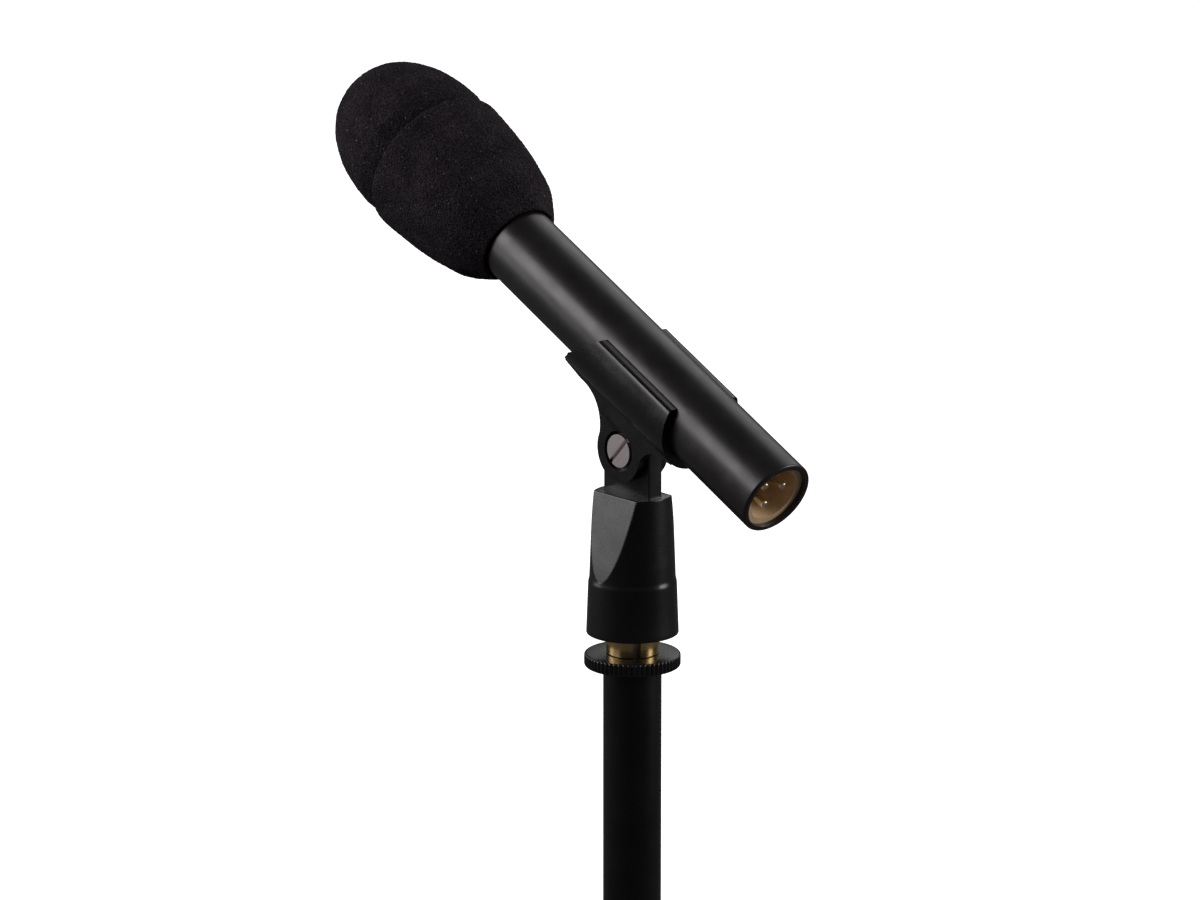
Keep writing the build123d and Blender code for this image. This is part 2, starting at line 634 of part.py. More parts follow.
def foam_windscreen():
    neck_r = BODY_R + SOFT
    lip_r = neck_r + FOAM_LIP
    cavity_end = GRILLE_END + SOFT
    rear_end = (FOAM_REAR_R, 0, FOAM_GROOVE - FOAM_REAR_END)
    points = [(r, 0, FOAM_START + ahead) for r, ahead in FOAM_SHOULDER]
    shoulder = Spline((lip_r, 0, FOAM_START), *points, rear_end,
                      tangents=[(1, 0, 0), (0, 0, 1)])
    nose_start = (FOAM_FRONT_R, 0, FOAM_NOSE_START)
    middle = [nose_point(i / FOAM_NOSE_STEPS) for i in range(1, FOAM_NOSE_STEPS)]
    nose = Spline(nose_start, *middle, (0, 0, FOAM_END), tangents=[(0, 0, 1), (-1, 0, 0)])
    inward, back = FOAM_GROOVE_LIP
    groove = Polyline(
        rear_end, (FOAM_REAR_R - inward, 0, FOAM_GROOVE - back),
        (FOAM_GROOVE_R, 0, FOAM_GROOVE), nose_start)
    inside = Polyline((0, 0, FOAM_END), (0, 0, cavity_end), (neck_r, 0, cavity_end),
                      (neck_r, 0, FOAM_START + FOAM_LIP), (lip_r, 0, FOAM_START))
    return MIC * revolve(make_face(Curve() + [shoulder, groove, nose, inside]), Axis.Z)


# ---------------------------------------------------------------------------
# One file per piece
# ---------------------------------------------------------------------------
PIECES = {
    "rod_tube": rod_tube, "rod_foot_socket": rod_foot_socket, "rod_top_stud": rod_top_stud,
    "locking_ring": locking_ring, "thread_adapter": thread_adapter,
    "swivel_base": swivel_base, "clip_cradle": clip_cradle, "pivot_screw": pivot_screw,
    "pivot_nut": pivot_nut, "body_tube": body_tube, "connector_shell": connector_shell,
    "connector_grub_screw": connector_grub_screw, "xlr_insulator": xlr_insulator,
    "xlr_pins": xlr_pins, "ground_lug": ground_lug, "connector_leads": connector_leads,
    "transformer_carrier": transformer_carrier, "transformer_core": transformer_core,
    "transformer_winding": transformer_winding, "capsule_leads": capsule_leads,
    "grille_frame": grille_frame, "grille_mesh": grille_mesh, "pop_disc": pop_disc,
    "capsule_housing": capsule_housing, "felt_damper": felt_damper, "yoke_cup": yoke_cup,
    "magnet": magnet, "pole_plate": pole_plate, "chassis_ring": chassis_ring,
    "voice_coil": voice_coil, "diaphragm": diaphragm, "resonator_plate": resonator_plate,
    "clamp_ring": clamp_ring, "foam_windscreen": foam_windscreen,
}

os.makedirs("parts", exist_ok=True)
for name, make in PIECES.items():
    export_step(make(), f"parts/{name}.step")
export_step(shock_ring(CAPSULE_START + SHOCK_GAP), "parts/rear_shock_ring.step")
front_start = CAPSULE_START + CAPSULE_LENGTH - SHOCK_WIDTH - SHOCK_GAP
export_step(shock_ring(front_start), "parts/front_shock_ring.step")
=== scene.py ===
"""Looks of a slim dynamic microphone with a foam windscreen, in its clip on a stand rod.

Sizes are fields in millimetres, and a shape is turned to metres when it is built. Each
sub-assembly is worked out in axes of its own: on the stand these are the row's own directions, and
on the microphone the first points to its upper side, the second along the row's Y and the third to
its head.
"""

import json
import logging
import math
from dataclasses import dataclass, field
from enum import Enum
from typing import Callable, Sequence

import bmesh
import bpy
import numpy as np
from mathutils import Matrix, Vector


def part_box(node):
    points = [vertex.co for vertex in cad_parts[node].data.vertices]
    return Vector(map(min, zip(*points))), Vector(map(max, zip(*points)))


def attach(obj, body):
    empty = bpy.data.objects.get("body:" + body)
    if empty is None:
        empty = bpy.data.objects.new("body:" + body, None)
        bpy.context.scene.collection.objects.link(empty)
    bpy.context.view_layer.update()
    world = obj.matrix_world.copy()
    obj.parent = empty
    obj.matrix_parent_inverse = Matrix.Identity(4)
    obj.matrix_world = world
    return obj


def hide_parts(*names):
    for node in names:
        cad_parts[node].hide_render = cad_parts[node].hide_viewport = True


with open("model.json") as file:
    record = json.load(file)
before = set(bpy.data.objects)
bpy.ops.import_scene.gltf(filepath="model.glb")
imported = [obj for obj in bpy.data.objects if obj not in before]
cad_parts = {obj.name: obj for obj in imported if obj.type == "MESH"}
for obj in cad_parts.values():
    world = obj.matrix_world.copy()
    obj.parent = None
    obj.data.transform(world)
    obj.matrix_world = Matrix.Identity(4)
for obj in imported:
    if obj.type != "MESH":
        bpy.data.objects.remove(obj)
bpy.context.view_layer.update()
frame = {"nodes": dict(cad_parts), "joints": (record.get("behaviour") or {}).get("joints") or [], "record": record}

MM = 0.001
TURN = 2 * math.pi
TINY = 1e-12
# Metres within which vertices are one, on new pieces and on copies of CAD nodes, and under which
# an edge is dropped.
WELD, CAD_WELD, SHORT_EDGE = 2e-7, 1e-6, 1e-8
# Degrees past which an edge of a new piece stays sharp.
SHARP = 35.0
# On a copy of a CAD node, the angle up to which faces count as flat and past which an edge is a
# corner to be rounded.
FLAT_ANGLE, CORNER_ANGLE = math.radians(0.6), math.radians(32)
JOINTS = {joint["name"]: joint for joint in frame["joints"]}
MOUNTS = {mount["name"]: mount for mount in frame["record"]["mounts"]}
Colour = tuple[float, float, float]
log = logging.getLogger("microphone")


# ---------------------------------------------------------------------------
# Frames and surfaces
# ---------------------------------------------------------------------------
@dataclass(frozen=True)
class Axes:
    """A right-handed set of axes that a sub-assembly is worked out in.

    Args:
        origin: The place of its zero, in the row frame.
        along: Unit vector of its third axis, in the row frame.
    """

    origin: Vector
    along: Vector

    def matrix(self) -> Matrix:
        """Return the matrix from these axes to the row frame."""
        side = Vector((0, 1, 0))
        up = side.cross(self.along).normalized()
        columns = Matrix((up, side, self.along)).transposed().to_4x4()
        return Matrix.Translation(self.origin) @ columns

    def place(self, points: np.ndarray) -> np.ndarray:
        """Move points from these axes to the row frame.

        Args:
            points: Array whose last axis holds three coordinates.

        Returns:
            An array of the same shape.
        """
        matrix = np.array(self.matrix())
        return points @ matrix[:3, :3].T + matrix[:3, 3]


def upright(height: float) -> Axes:
    """Return axes on the rod's own axis, with their zero at that height."""
    return Axes(Vector((0, 0, height)), Vector((0, 0, 1)))


def microphone_axes() -> Axes:
    """Return axes with their zero at the tail's face, running to the head."""
    inlet = MOUNTS["signal_inlet"]
    return Axes(Vector(inlet["pos_m"]), -Vector(inlet["axis"]).normalized())


def lengths_of(ways: np.ndarray) -> np.ndarray:
    """Return the length of each row of an (n, 2) array, never quite 0, as a column."""
    return np.maximum(np.linalg.norm(ways, axis=1, keepdims=True), TINY)


def turned(radius: np.ndarray, angle: np.ndarray, height: np.ndarray) -> np.ndarray:
    """Return the points (r cos a, r sin a, z) for radii, angles and heights."""
    return np.stack((radius * np.cos(angle), radius * np.sin(angle), height + 0 * angle), axis=-1)


def soften(corners: Sequence[tuple[float, float]], radii: Sequence[float] | float,
           steps: int = 7, closed: bool = True) -> np.ndarray:
    """Round the corners of an outline.

    Each corner C is replaced by the curve (1-t)^2 A + 2t(1-t) C + t^2 B, where A and B lie the
    corner's radius away from C on its two sides, or half a side where that is shorter.

    Args:
        corners: The outline's corners in order.
        radii: One radius for all corners, or one each.
        steps: Points on each curve.
        closed: Whether the outline comes back to its start.

    Returns:
        An (n, 2) array of points.
    """
    middle = np.array(corners, float)
    size = np.broadcast_to(np.array(radii, float), len(middle))[:, None]
    before, after = np.roll(middle, 1, 0) - middle, np.roll(middle, -1, 0) - middle
    to_before, to_after = lengths_of(before), lengths_of(after)
    start = middle + before / to_before * np.minimum(size, to_before / 2)
    end = middle + after / to_after * np.minimum(size, to_after / 2)
    t = np.linspace(0, 1, steps)[None, :, None]
    curves = ((1 - t) ** 2 * start[:, None] + 2 * t * (1 - t) * middle[:, None]
              + t ** 2 * end[:, None])
    if not closed:
        curves[0], curves[-1] = middle[0], middle[-1]
    points = curves.reshape(-1, 2)
    moved = np.linalg.norm(np.diff(points, axis=0), axis=1) > 1e-9
    return points[np.concatenate(([True], moved))]


def revolve(profile: np.ndarray, segments: int) -> np.ndarray:
    """Turn a profile about the third axis.

    A point (r, z) at angle a becomes (r cos a, r sin a, z).

    Args:
        profile: (n, 2) array of radius and height.
        segments: Steps round the whole turn.

    Returns:
        An (n, segments, 3) grid, one row for each profile point.
    """
    angles = np.linspace(0, TURN, segments, endpoint=False)[None, :]
    return turned(profile[:, :1], angles, profile[:, 1:])


def grid_faces(rows: int, columns: int, wrap_rows: bool) -> np.ndarray:
    """List the faces of a grid whose last column meets its first.

    The face at row i and column j has the corners (i, j), (i, j + 1), (i + 1, j + 1) and
    (i + 1, j), where the point at row i and column j has the number i * columns + j.

    Args:
        rows: Rows of points.
        columns: Columns of points.
        wrap_rows: Whether the last row meets the first.

    Returns:
        An (n, 4) array of point numbers.
    """
    row = np.arange(rows if wrap_rows else rows - 1)[:, None]
    column = np.arange(columns)[None, :]
    next_row, next_column = (row + 1) % rows, (column + 1) % columns
    faces = (row * columns + column, row * columns + next_column,
             next_row * columns + next_column, next_row * columns + column)
    return np.stack(np.broadcast_arrays(*faces), axis=-1).reshape(-1, 4)


@dataclass
class Shape:
    """Vertices and faces that are gathered before they become one object."""

    points: list[np.ndarray] = field(default_factory=list)
    faces: list[list[int]] = field(default_factory=list)
    count: int = 0

    def add(self, points: np.ndarray, faces: list[list[int]]) -> "Shape":
        """Add points and the faces that join them.

        Args:
            points: (n, 3) array.
            faces: Indices into those points.

        Returns:
            The shape itself.
        """
        self.points.append(points)
        self.faces += [[corner + self.count for corner in face] for face in faces]
        self.count += len(points)
        return self

    def add_grid(self, grid: np.ndarray, wrap_rows: bool = False) -> "Shape":
        """Add a grid of points as a surface whose last column meets its first.

        Args:
            grid: (rows, columns, 3) array.
            wrap_rows: Whether the last row meets the first.

        Returns:
            The shape itself.
        """
        rows, columns = grid.shape[:2]
        return self.add(grid.reshape(-1, 3), grid_faces(rows, columns, wrap_rows).tolist())

    def add_slab(self, outline: np.ndarray, low: float, high: float, edge: float,
                 hole: tuple[float, float, float] | None = None, steps: int = 5) -> "Shape":
        """Add a plate: an outline carried from low to high along the second axis.

        Near each face the outline shrinks along a quarter circle of the edge's radius, so the
        corners are round. The outline's own coordinates are the first and third axis. A hole's
        ring has one point for each of the outline's, in the same direction from its centre.

        Args:
            outline: (n, 2) closed outline.
            low: Where the plate starts.
            high: Where it ends.
            edge: Radius of its corners.
            hole: Centre and radius of a round hole through it, or None.
            steps: Rows on each rounded corner.

        Returns:
            The shape itself.
        """
        way = np.roll(outline, -1, 0) - np.roll(outline, 1, 0)
        way /= lengths_of(way)
        inward = np.stack((-way[:, 1], way[:, 0]), axis=1)
        x, z = outline[:, 0], outline[:, 1]
        inward *= math.copysign(1, np.sum(x * np.roll(z, -1) - np.roll(x, -1) * z))
        angle = np.linspace(0, math.pi / 2, steps)
        inset, rise = edge * (1 - np.sin(angle)), edge * (1 - np.cos(angle))
        insets = np.concatenate((inset, inset[::-1]))
        levels = np.concatenate((low + rise, high - rise[::-1]))
        flat = outline[None] + inward[None] * insets[:, None, None]
        if hole is not None:
            spoke = outline - np.array(hole[:2])
            ring = hole[:2] + hole[2] * spoke / np.linalg.norm(spoke, axis=1, keepdims=True)
            flat = np.concatenate((ring[None], flat, ring[None]))
            levels = np.concatenate(([low], levels, [high]))
        level = np.broadcast_to(levels[:, None, None], flat.shape[:2] + (1,))
        grid = np.concatenate((flat[..., :1], level, flat[..., 1:]), axis=-1)
        if hole is not None:
            return self.add_grid(grid, wrap_rows=True)
        count, last = len(outline), (len(levels) - 1) * len(outline)
        faces = grid_faces(len(levels), count, False).tolist()
        faces += [list(range(count))[::-1], list(range(last, last + count))]
        return self.add(grid.reshape(-1, 3), faces)

    def build(self, name: str, axes: Axes, sharp: float = SHARP) -> bpy.types.Object:
        """Make the object: its doubles merged, its faces outward and smooth between sharp edges.

        Args:
            name: The object's name.
            axes: The axes that the points are in.
            sharp: Angle in degrees past which an edge stays sharp.

        Returns:
            The object, at the origin, with its place in its mesh.
        """
        mesh = bpy.data.meshes.new(name)
        mesh.from_pydata(axes.place(np.concatenate(self.points) * MM), [], self.faces)
        tidy_mesh(mesh, sharp)
        return add_object(name, mesh)


def add_object(name: str, data: bpy.types.ID) -> bpy.types.Object:
    """Make an object of a mesh, light or camera, and put it into the scene."""
    made = bpy.data.objects.new(name, data)
    bpy.context.scene.collection.objects.link(made)
    return made


def tidy_mesh(mesh: bpy.types.Mesh, sharp: float) -> None:
    """Merge a mesh's doubles, turn its faces outward and shade it smooth up to the sharp angle."""
    work = bmesh.new()
    work.from_mesh(mesh)
    bmesh.ops.remove_doubles(work, verts=work.verts, dist=WELD)
    bmesh.ops.dissolve_degenerate(work, edges=work.edges, dist=SHORT_EDGE)
    bmesh.ops.recalc_face_normals(work, faces=work.faces)
    work.to_mesh(mesh)
    work.free()
    mesh.shade_smooth()
    mesh.set_sharp_from_angle(angle=math.radians(sharp))


def rounded_copy(node: str, name: str, width: float, segments: int = 3) -> bpy.types.Object:
    """Copy a CAD node and round its corners.

    The copy's triangles are merged, flat patches become single faces, and a Bevel modifier rounds
    what is left of the sharp edges.

    Args:
        node: The CAD node.
        name: The new object's name.
        width: Width of the rounding, in metres.
        segments: Faces across the rounding.

    Returns:
        The new object.
    """
    mesh = frame["nodes"][node].data.copy()
    mesh.materials.clear()
    work = bmesh.new()
    work.from_mesh(mesh)
    bmesh.ops.remove_doubles(work, verts=work.verts, dist=CAD_WELD)
    bmesh.ops.dissolve_limit(work, angle_limit=FLAT_ANGLE, verts=work.verts,
                             edges=work.edges, use_dissolve_boundaries=False)
    work.to_mesh(mesh)
    work.free()
    mesh.shade_smooth()
    mesh.set_sharp_from_angle(angle=CORNER_ANGLE)
    piece = add_object(name, mesh)
    bevel = piece.modifiers.new("rounding", "BEVEL")
    bevel.width, bevel.segments = width, segments
    bevel.limit_method, bevel.angle_limit = "ANGLE", CORNER_ANGLE
    bevel.harden_normals = True
    return piece


def wave_noise(points: np.ndarray, size: float, seed: int, waves: int = 14) -> np.ndarray:
    """Return smooth noise between about -1 and 1, a sum of plane waves in seeded directions.

    Args:
        points: Array whose last axis holds three coordinates.
        size: Typical wavelength.
        seed: Seed of the directions and phases.
        waves: How many waves are added.

    Returns:
        An array of the same shape without its last axis.
    """
    random = np.random.default_rng(seed)
    ways = random.normal(size=(waves, 3))
    ways *= (TURN / size) / np.linalg.norm(ways, axis=1, keepdims=True)
    ways *= random.uniform(0.6, 1.5, (waves, 1))
    phases = random.uniform(0, TURN, waves)
    return np.sin(points @ ways.T + phases).sum(axis=-1) / math.sqrt(waves)


# ---------------------------------------------------------------------------
# Shader node groups
# ---------------------------------------------------------------------------
class Wiring:
    """Short calls that add and join the nodes of a tree."""

    def __init__(self, tree: bpy.types.NodeTree) -> None:
        """Keep the tree that nodes are added to."""
        self.tree = tree

    def add(self, kind: str, sockets: dict[str | int, object] | None = None,
            **settings: object) -> bpy.types.Node:
        """Add a node.

        Args:
            kind: The node's type, without its ShaderNode prefix.
            sockets: Input name or number to a value, or to the output that feeds it.
            settings: The node's own properties.

        Returns:
            The node.
        """
        prefix = "" if kind.startswith("NodeGroup") else "ShaderNode"
        node = self.tree.nodes.new(prefix + kind)
        for name, value in settings.items():
            setattr(node, name, value)
        self.feed(node, sockets or {})
        return node

    def feed(self, node: bpy.types.Node, sockets: dict[str | int, object]) -> None:
        """Set or join a node's inputs.

        Args:
            node: The node.
            sockets: Input name or number to a value, or to the output that feeds it.
        """
        for key, value in sockets.items():
            if isinstance(value, bpy.types.NodeSocket):
                self.tree.links.new(value, node.inputs[key])
            else:
                node.inputs[key].default_value = value

    def math(self, operation: str, first: object, second: object = 0.0,
             clamp: bool = False) -> bpy.types.NodeSocket:
        """Add a Math node and return its output."""
        node = self.add("Math", {0: first, 1: second}, operation=operation, use_clamp=clamp)
        return node.outputs[0]

    def spread(self, value: bpy.types.NodeSocket, low: float, high: float,
               to_low: float = 0.0, to_high: float = 1.0) -> bpy.types.NodeSocket:
        """Map a value from one range to another, clamped, and return the output."""
        node = self.add("MapRange", {"Value": value, "From Min": low, "From Max": high,
                                     "To Min": to_low, "To Max": to_high})
        return node.outputs["Result"]

    def noise(self, vector: object, scale: object, detail: float = 3.0,
              roughness: float = 0.55) -> bpy.types.NodeSocket:
        """Add a Noise Texture and return its value output."""
        node = self.add("TexNoise", {"Vector": vector, "Scale": scale, "Detail": detail,
                                     "Roughness": roughness})
        return node.outputs[0]

    def mix(self, share: object, first: object, second: object) -> bpy.types.NodeSocket:
        """Mix two colours and return the output."""
        return self.add("Mix", {0: share, 6: first, 7: second}, data_type="RGBA").outputs[2]


class Effect(Enum):
    """Effects that several materials share, each a node group."""

    GRAIN = "fine_grain"
    WEAR = "edge_wear"
    DUST = "settled_dust"
    TURNED = "turning_marks"
    CELLS = "foam_cells"


@dataclass(frozen=True)
class GroupPlan:
    """The sockets of an effect's node group, and the method that fills it.

    Args:
        inputs: Input name to its kind.
        outputs: Output name to its kind.
        fill: Wires the group between its input and output node.
    """

    inputs: dict[str, str]
    outputs: dict[str, str]
    fill: Callable[[Wiring, bpy.types.Node, bpy.types.Node], None]


def fill_grain(wire: Wiring, given: bpy.types.Node, made: bpy.types.Node) -> None:
    """Fine pebbled grain: two sizes of noise, and a slow cloud that varies gloss and colour."""
    vector, scale = given.outputs["Vector"], given.outputs["Scale"]
    fine = wire.noise(vector, scale, detail=2.0, roughness=0.6)
    coarse = wire.noise(vector, wire.math("MULTIPLY", scale, 0.28))
    height = wire.math("ADD", wire.math("MULTIPLY", fine, 0.65),
                       wire.math("MULTIPLY", coarse, 0.35))
    slow = wire.math("MULTIPLY", scale, 0.03)
    cloud = wire.noise(vector, slow, detail=5.0, roughness=0.6)
    wire.feed(made, {"Height": height, "Cloud": wire.spread(cloud, 0.3, 0.7)})


def fill_wear(wire: Wiring, given: bpy.types.Node, made: bpy.types.Node) -> None:
    """Worn edges: where the surface is most convex, broken up by noise."""
    point = wire.add("NewGeometry").outputs["Pointiness"]
    edge = wire.spread(point, 0.515, 0.6)
    patch = wire.noise(given.outputs["Vector"], given.outputs["Scale"], detail=4.0,
                       roughness=0.65)
    broken = wire.math("MULTIPLY", edge, wire.spread(patch, 0.42, 0.68))
    wire.feed(made, {"Mask": wire.math("MULTIPLY", broken, given.outputs["Amount"], clamp=True)})


def fill_dust(wire: Wiring, given: bpy.types.Node, made: bpy.types.Node) -> None:
    """Dust: fine specks and a faint film, on what faces up."""
    vector, scale = given.outputs["Vector"], given.outputs["Scale"]
    normal = wire.add("NewGeometry").outputs["Normal"]
    up = wire.spread(wire.add("SeparateXYZ", {0: normal}).outputs["Z"], 0.1, 0.9)
    specks = wire.spread(wire.noise(vector, scale, detail=1.0), 0.68, 0.76)
    slow = wire.noise(vector, wire.math("MULTIPLY", scale, 0.06), detail=4.0)
    film = wire.spread(slow, 0.4, 0.75, to_high=0.35)
    both = wire.math("ADD", wire.math("MULTIPLY", specks, 0.7), film)
    mask = wire.math("MULTIPLY", wire.math("MULTIPLY", both, up), given.outputs["Amount"],
                     clamp=True)
    wire.feed(made, {"Mask": mask})


def fill_turned(wire: Wiring, given: bpy.types.Node, made: bpy.types.Node) -> None:
    """Turning marks: noise drawn out round the third axis, as a lathe tool leaves it."""
    parts = wire.add("SeparateXYZ", {0: given.outputs["Vector"]})
    radius = wire.math("SQRT", wire.math("ADD", wire.math("POWER", parts.outputs["X"], 2.0),
                                         wire.math("POWER", parts.outputs["Y"], 2.0)))
    across = wire.math("MULTIPLY", radius, given.outputs["Scale"])
    along = wire.math("MULTIPLY", parts.outputs["Z"], given.outputs["Scale"])
    place = wire.add("CombineXYZ", {"X": across, "Y": along})
    marks = wire.noise(place.outputs[0], 1.0, detail=4.0, roughness=0.7)
    wire.feed(made, {"Height": marks, "Cloud": wire.spread(marks, 0.3, 0.7)})


CELL_WARP = 0.0007


def fill_cells(wire: Wiring, given: bpy.types.Node, made: bpy.types.Node) -> None:
    """Open-cell foam: round pits of two sizes, their rims, and painted glints: a few specks on the rims that stand
    in for struts catching the light.
    """
    vector, scale = given.outputs["Vector"], given.outputs["Scale"]
    warp = wire.add("TexNoise", {"Vector": vector, "Scale": wire.math("MULTIPLY", scale, 0.6)})
    nudge = wire.add("VectorMath", {0: warp.outputs["Color"], 1: (CELL_WARP,) * 3},
                     operation="MULTIPLY").outputs[0]
    place = wire.add("VectorMath", {0: vector, 1: nudge}, operation="ADD").outputs[0]
    large = wire.add("TexVoronoi", {"Vector": place, "Scale": scale}).outputs["Distance"]
    small = wire.add("TexVoronoi", {"Vector": place, "Scale": wire.math("MULTIPLY", scale, 2.1)})
    height = wire.math("ADD", wire.math("MULTIPLY", large, 0.7),
                       wire.math("MULTIPLY", small.outputs["Distance"], 0.3))
    # Painted glints: sparse pale specks on the rims, standing in for struts that catch the light.
    painted_glint = wire.noise(vector, wire.math("MULTIPLY", scale, 0.9), detail=1.0)
    painted_glint_mask = wire.math("MULTIPLY", wire.spread(painted_glint, 0.71, 0.77), wire.spread(large, 0.35, 0.6))
    wire.feed(made, {"Height": height, "Rim": wire.spread(large, 0.1, 0.55), "PaintedGlint": painted_glint_mask})


PLACED = {"Vector": "NodeSocketVector", "Scale": "NodeSocketFloat"}
MEASURED = {**PLACED, "Amount": "NodeSocketFloat"}
RELIEF = {"Height": "NodeSocketFloat", "Cloud": "NodeSocketFloat"}
PLANS: dict[Effect, GroupPlan] = {
    Effect.GRAIN: GroupPlan(PLACED, RELIEF, fill_grain),
    Effect.WEAR: GroupPlan(MEASURED, {"Mask": "NodeSocketFloat"}, fill_wear),
    Effect.DUST: GroupPlan(MEASURED, {"Mask": "NodeSocketFloat"}, fill_dust),
    Effect.TURNED: GroupPlan(PLACED, RELIEF, fill_turned),
    Effect.CELLS: GroupPlan(PLACED, {"Height": "NodeSocketFloat", "Rim": "NodeSocketFloat",
                                     "PaintedGlint": "NodeSocketFloat"}, fill_cells),
}


def effect_group(effect: Effect) -> bpy.types.NodeTree:
    """Return the effect's node group, built the first time it is asked for."""
    tree = bpy.data.node_groups.get(effect.value)
    if tree is None:
        plan = PLANS[effect]
        tree = bpy.data.node_groups.new(effect.value, "ShaderNodeTree")
        for way, sockets in (("INPUT", plan.inputs), ("OUTPUT", plan.outputs)):
            for name, kind in sockets.items():
                tree.interface.new_socket(name, in_out=way, socket_type=kind)
        wire = Wiring(tree)
        plan.fill(wire, wire.add("NodeGroupInput"), wire.add("NodeGroupOutput"))
    return tree


# ---------------------------------------------------------------------------
# Finishes
# ---------------------------------------------------------------------------
WEAR_SCALE = 900.0
DUST_SCALE = 3200.0
DUST_COLOUR = (0.55, 0.53, 0.5, 1)
DUST_ROUGHNESS = 0.4
COAT_ROUGHNESS = 0.08
SHEEN_ROUGHNESS = 0.4
FOAM_DRIFT_SCALE = 120.0
FOAM_DRIFT = 0.4


@dataclass(frozen=True)
class Finish:
    """A surface finish, and how it makes its material.

    Args:
        colour: Main colour.
        tint: Colour that patches of it drift towards.
        roughness: Main roughness.
        drift: How far the roughness wanders either way.
        metallic: How metallic it is, 1 for bare metal.
        relief: The effect that gives its relief.
        scale: Relief features per metre.
        depth: Strength of the relief.
        height: Height of the relief, in metres.
        wear: How strongly edges are worn.
        bare: Colour under the worn edges.
        dust: How much dust has settled.
        coat: Weight of a clear coat.
        sheen: Weight of a soft sheen.
        specular: Level of the plain reflection.
    """

    colour: Colour
    tint: Colour
    roughness: float
    drift: float = 0.05
    metallic: float = 0.0
    relief: Effect = Effect.GRAIN
    scale: float = 2500.0
    depth: float = 0.15
    height: float = 0.00004
    wear: float = 0.0
    bare: Colour = (0.3, 0.3, 0.3)
    dust: float = 0.03
    coat: float = 0.0
    sheen: float = 0.0
    specular: float = 0.5

    def coordinates(self, wire: Wiring, axes: Axes) -> bpy.types.NodeSocket:
        """Return Object coordinates turned into the sub-assembly's own axes."""
        place = wire.add("TexCoord").outputs["Object"]
        matrix = axes.matrix()
        return wire.add("Mapping", {"Vector": place, "Location": matrix.translation,
                                    "Rotation": matrix.to_euler()},
                        vector_type="TEXTURE").outputs[0]

    def material(self, name: str, axes: Axes) -> bpy.types.Material:
        """Make the material.

        Args:
            name: The material's name.
            axes: The axes that its patterns follow.

        Returns:
            The material.
        """
        made = bpy.data.materials.new(name)
        made.use_nodes = True
        wire = Wiring(made.node_tree)
        shader = made.node_tree.nodes["Principled BSDF"]
        vector = self.coordinates(wire, axes)
        relief = wire.add("Group", node_tree=effect_group(self.relief))
        wire.feed(relief, {"Vector": vector, "Scale": self.scale})
        colour, rough = self.surface(wire, vector, relief)
        bump = wire.add("Bump", {"Strength": self.depth, "Distance": self.height,
                                 "Height": relief.outputs["Height"]})
        wire.feed(shader, {"Base Color": colour, "Roughness": rough, "Normal": bump.outputs[0],
                           "Metallic": self.metallic, "Specular IOR Level": self.specular,
                           "Coat Weight": self.coat, "Coat Roughness": COAT_ROUGHNESS,
                           "Sheen Weight": self.sheen, "Sheen Roughness": SHEEN_ROUGHNESS})
        return made

    def surface(self, wire: Wiring, vector: bpy.types.NodeSocket,
                relief: bpy.types.Node) -> tuple[bpy.types.NodeSocket, bpy.types.NodeSocket]:
        """Wire the colour and roughness: drift, then worn edges, then dust.

        Args:
            wire: The material's wiring.
            vector: Its coordinates.
            relief: The relief's group node.

        Returns:
            The colour's and the roughness's output.
        """
        cloud = relief.outputs["Cloud"]
        colour = wire.mix(cloud, (*self.colour, 1), (*self.tint, 1))
        rough = wire.spread(cloud, 0, 1, self.roughness - self.drift, self.roughness + self.drift)
        worn = wire.add("Group", {"Vector": vector, "Scale": WEAR_SCALE, "Amount": self.wear},
                        node_tree=effect_group(Effect.WEAR)).outputs["Mask"]
        dust = wire.add("Group", {"Vector": vector, "Scale": DUST_SCALE, "Amount": self.dust},
                        node_tree=effect_group(Effect.DUST)).outputs["Mask"]
        colour = wire.mix(worn, colour, (*self.bare, 1))
        colour = wire.mix(dust, colour, DUST_COLOUR)
        rougher = wire.math("MULTIPLY", dust, DUST_ROUGHNESS)
        return colour, wire.math("ADD", rough, rougher, clamp=True)


@dataclass(frozen=True)
class FoamFinish(Finish):
    """Open-cell foam, painted darker in its pits and paler on its strut rims as painted shade and light, with a
    few bright flecks as painted glints.

    Args:
        rim: Colour of the strut rims, paler than the pits as painted light over painted shade.
        painted_glint: Colour of the painted glints, a few struts painted as if they catch the light.
    """

    rim: Colour = (0.012, 0.011, 0.012)
    painted_glint: Colour = (0.30, 0.30, 0.32)

    def surface(self, wire: Wiring, vector: bpy.types.NodeSocket,
                relief: bpy.types.Node) -> tuple[bpy.types.NodeSocket, bpy.types.NodeSocket]:
        """Wire the colour and roughness: dark pits and paler rims as painted shade and light, painted glints and a
        slow drift.

        Args:
            wire: The material's wiring.
            vector: Its coordinates.
            relief: The relief's group node.

        Returns:
            The colour's and the roughness's output.
        """
        # Painted shade and light: the pits keep the dark colour and the rims turn paler, as light and shade fall
        # on the cells.
        colour = wire.mix(relief.outputs["Rim"], (*self.colour, 1), (*self.rim, 1))
        slow = wire.spread(wire.noise(vector, FOAM_DRIFT_SCALE, detail=4.0), 0.35, 0.7)
        colour = wire.mix(wire.math("MULTIPLY", slow, FOAM_DRIFT), colour, (*self.tint, 1))
        # Painted glints: a few pale specks on the rims stand in for struts that catch the light.
        colour = wire.mix(relief.outputs["PaintedGlint"], colour, (*self.painted_glint, 1))
        rough = wire.spread(slow, 0, 1, self.roughness - self.drift, self.roughness + self.drift)
        return colour, rough


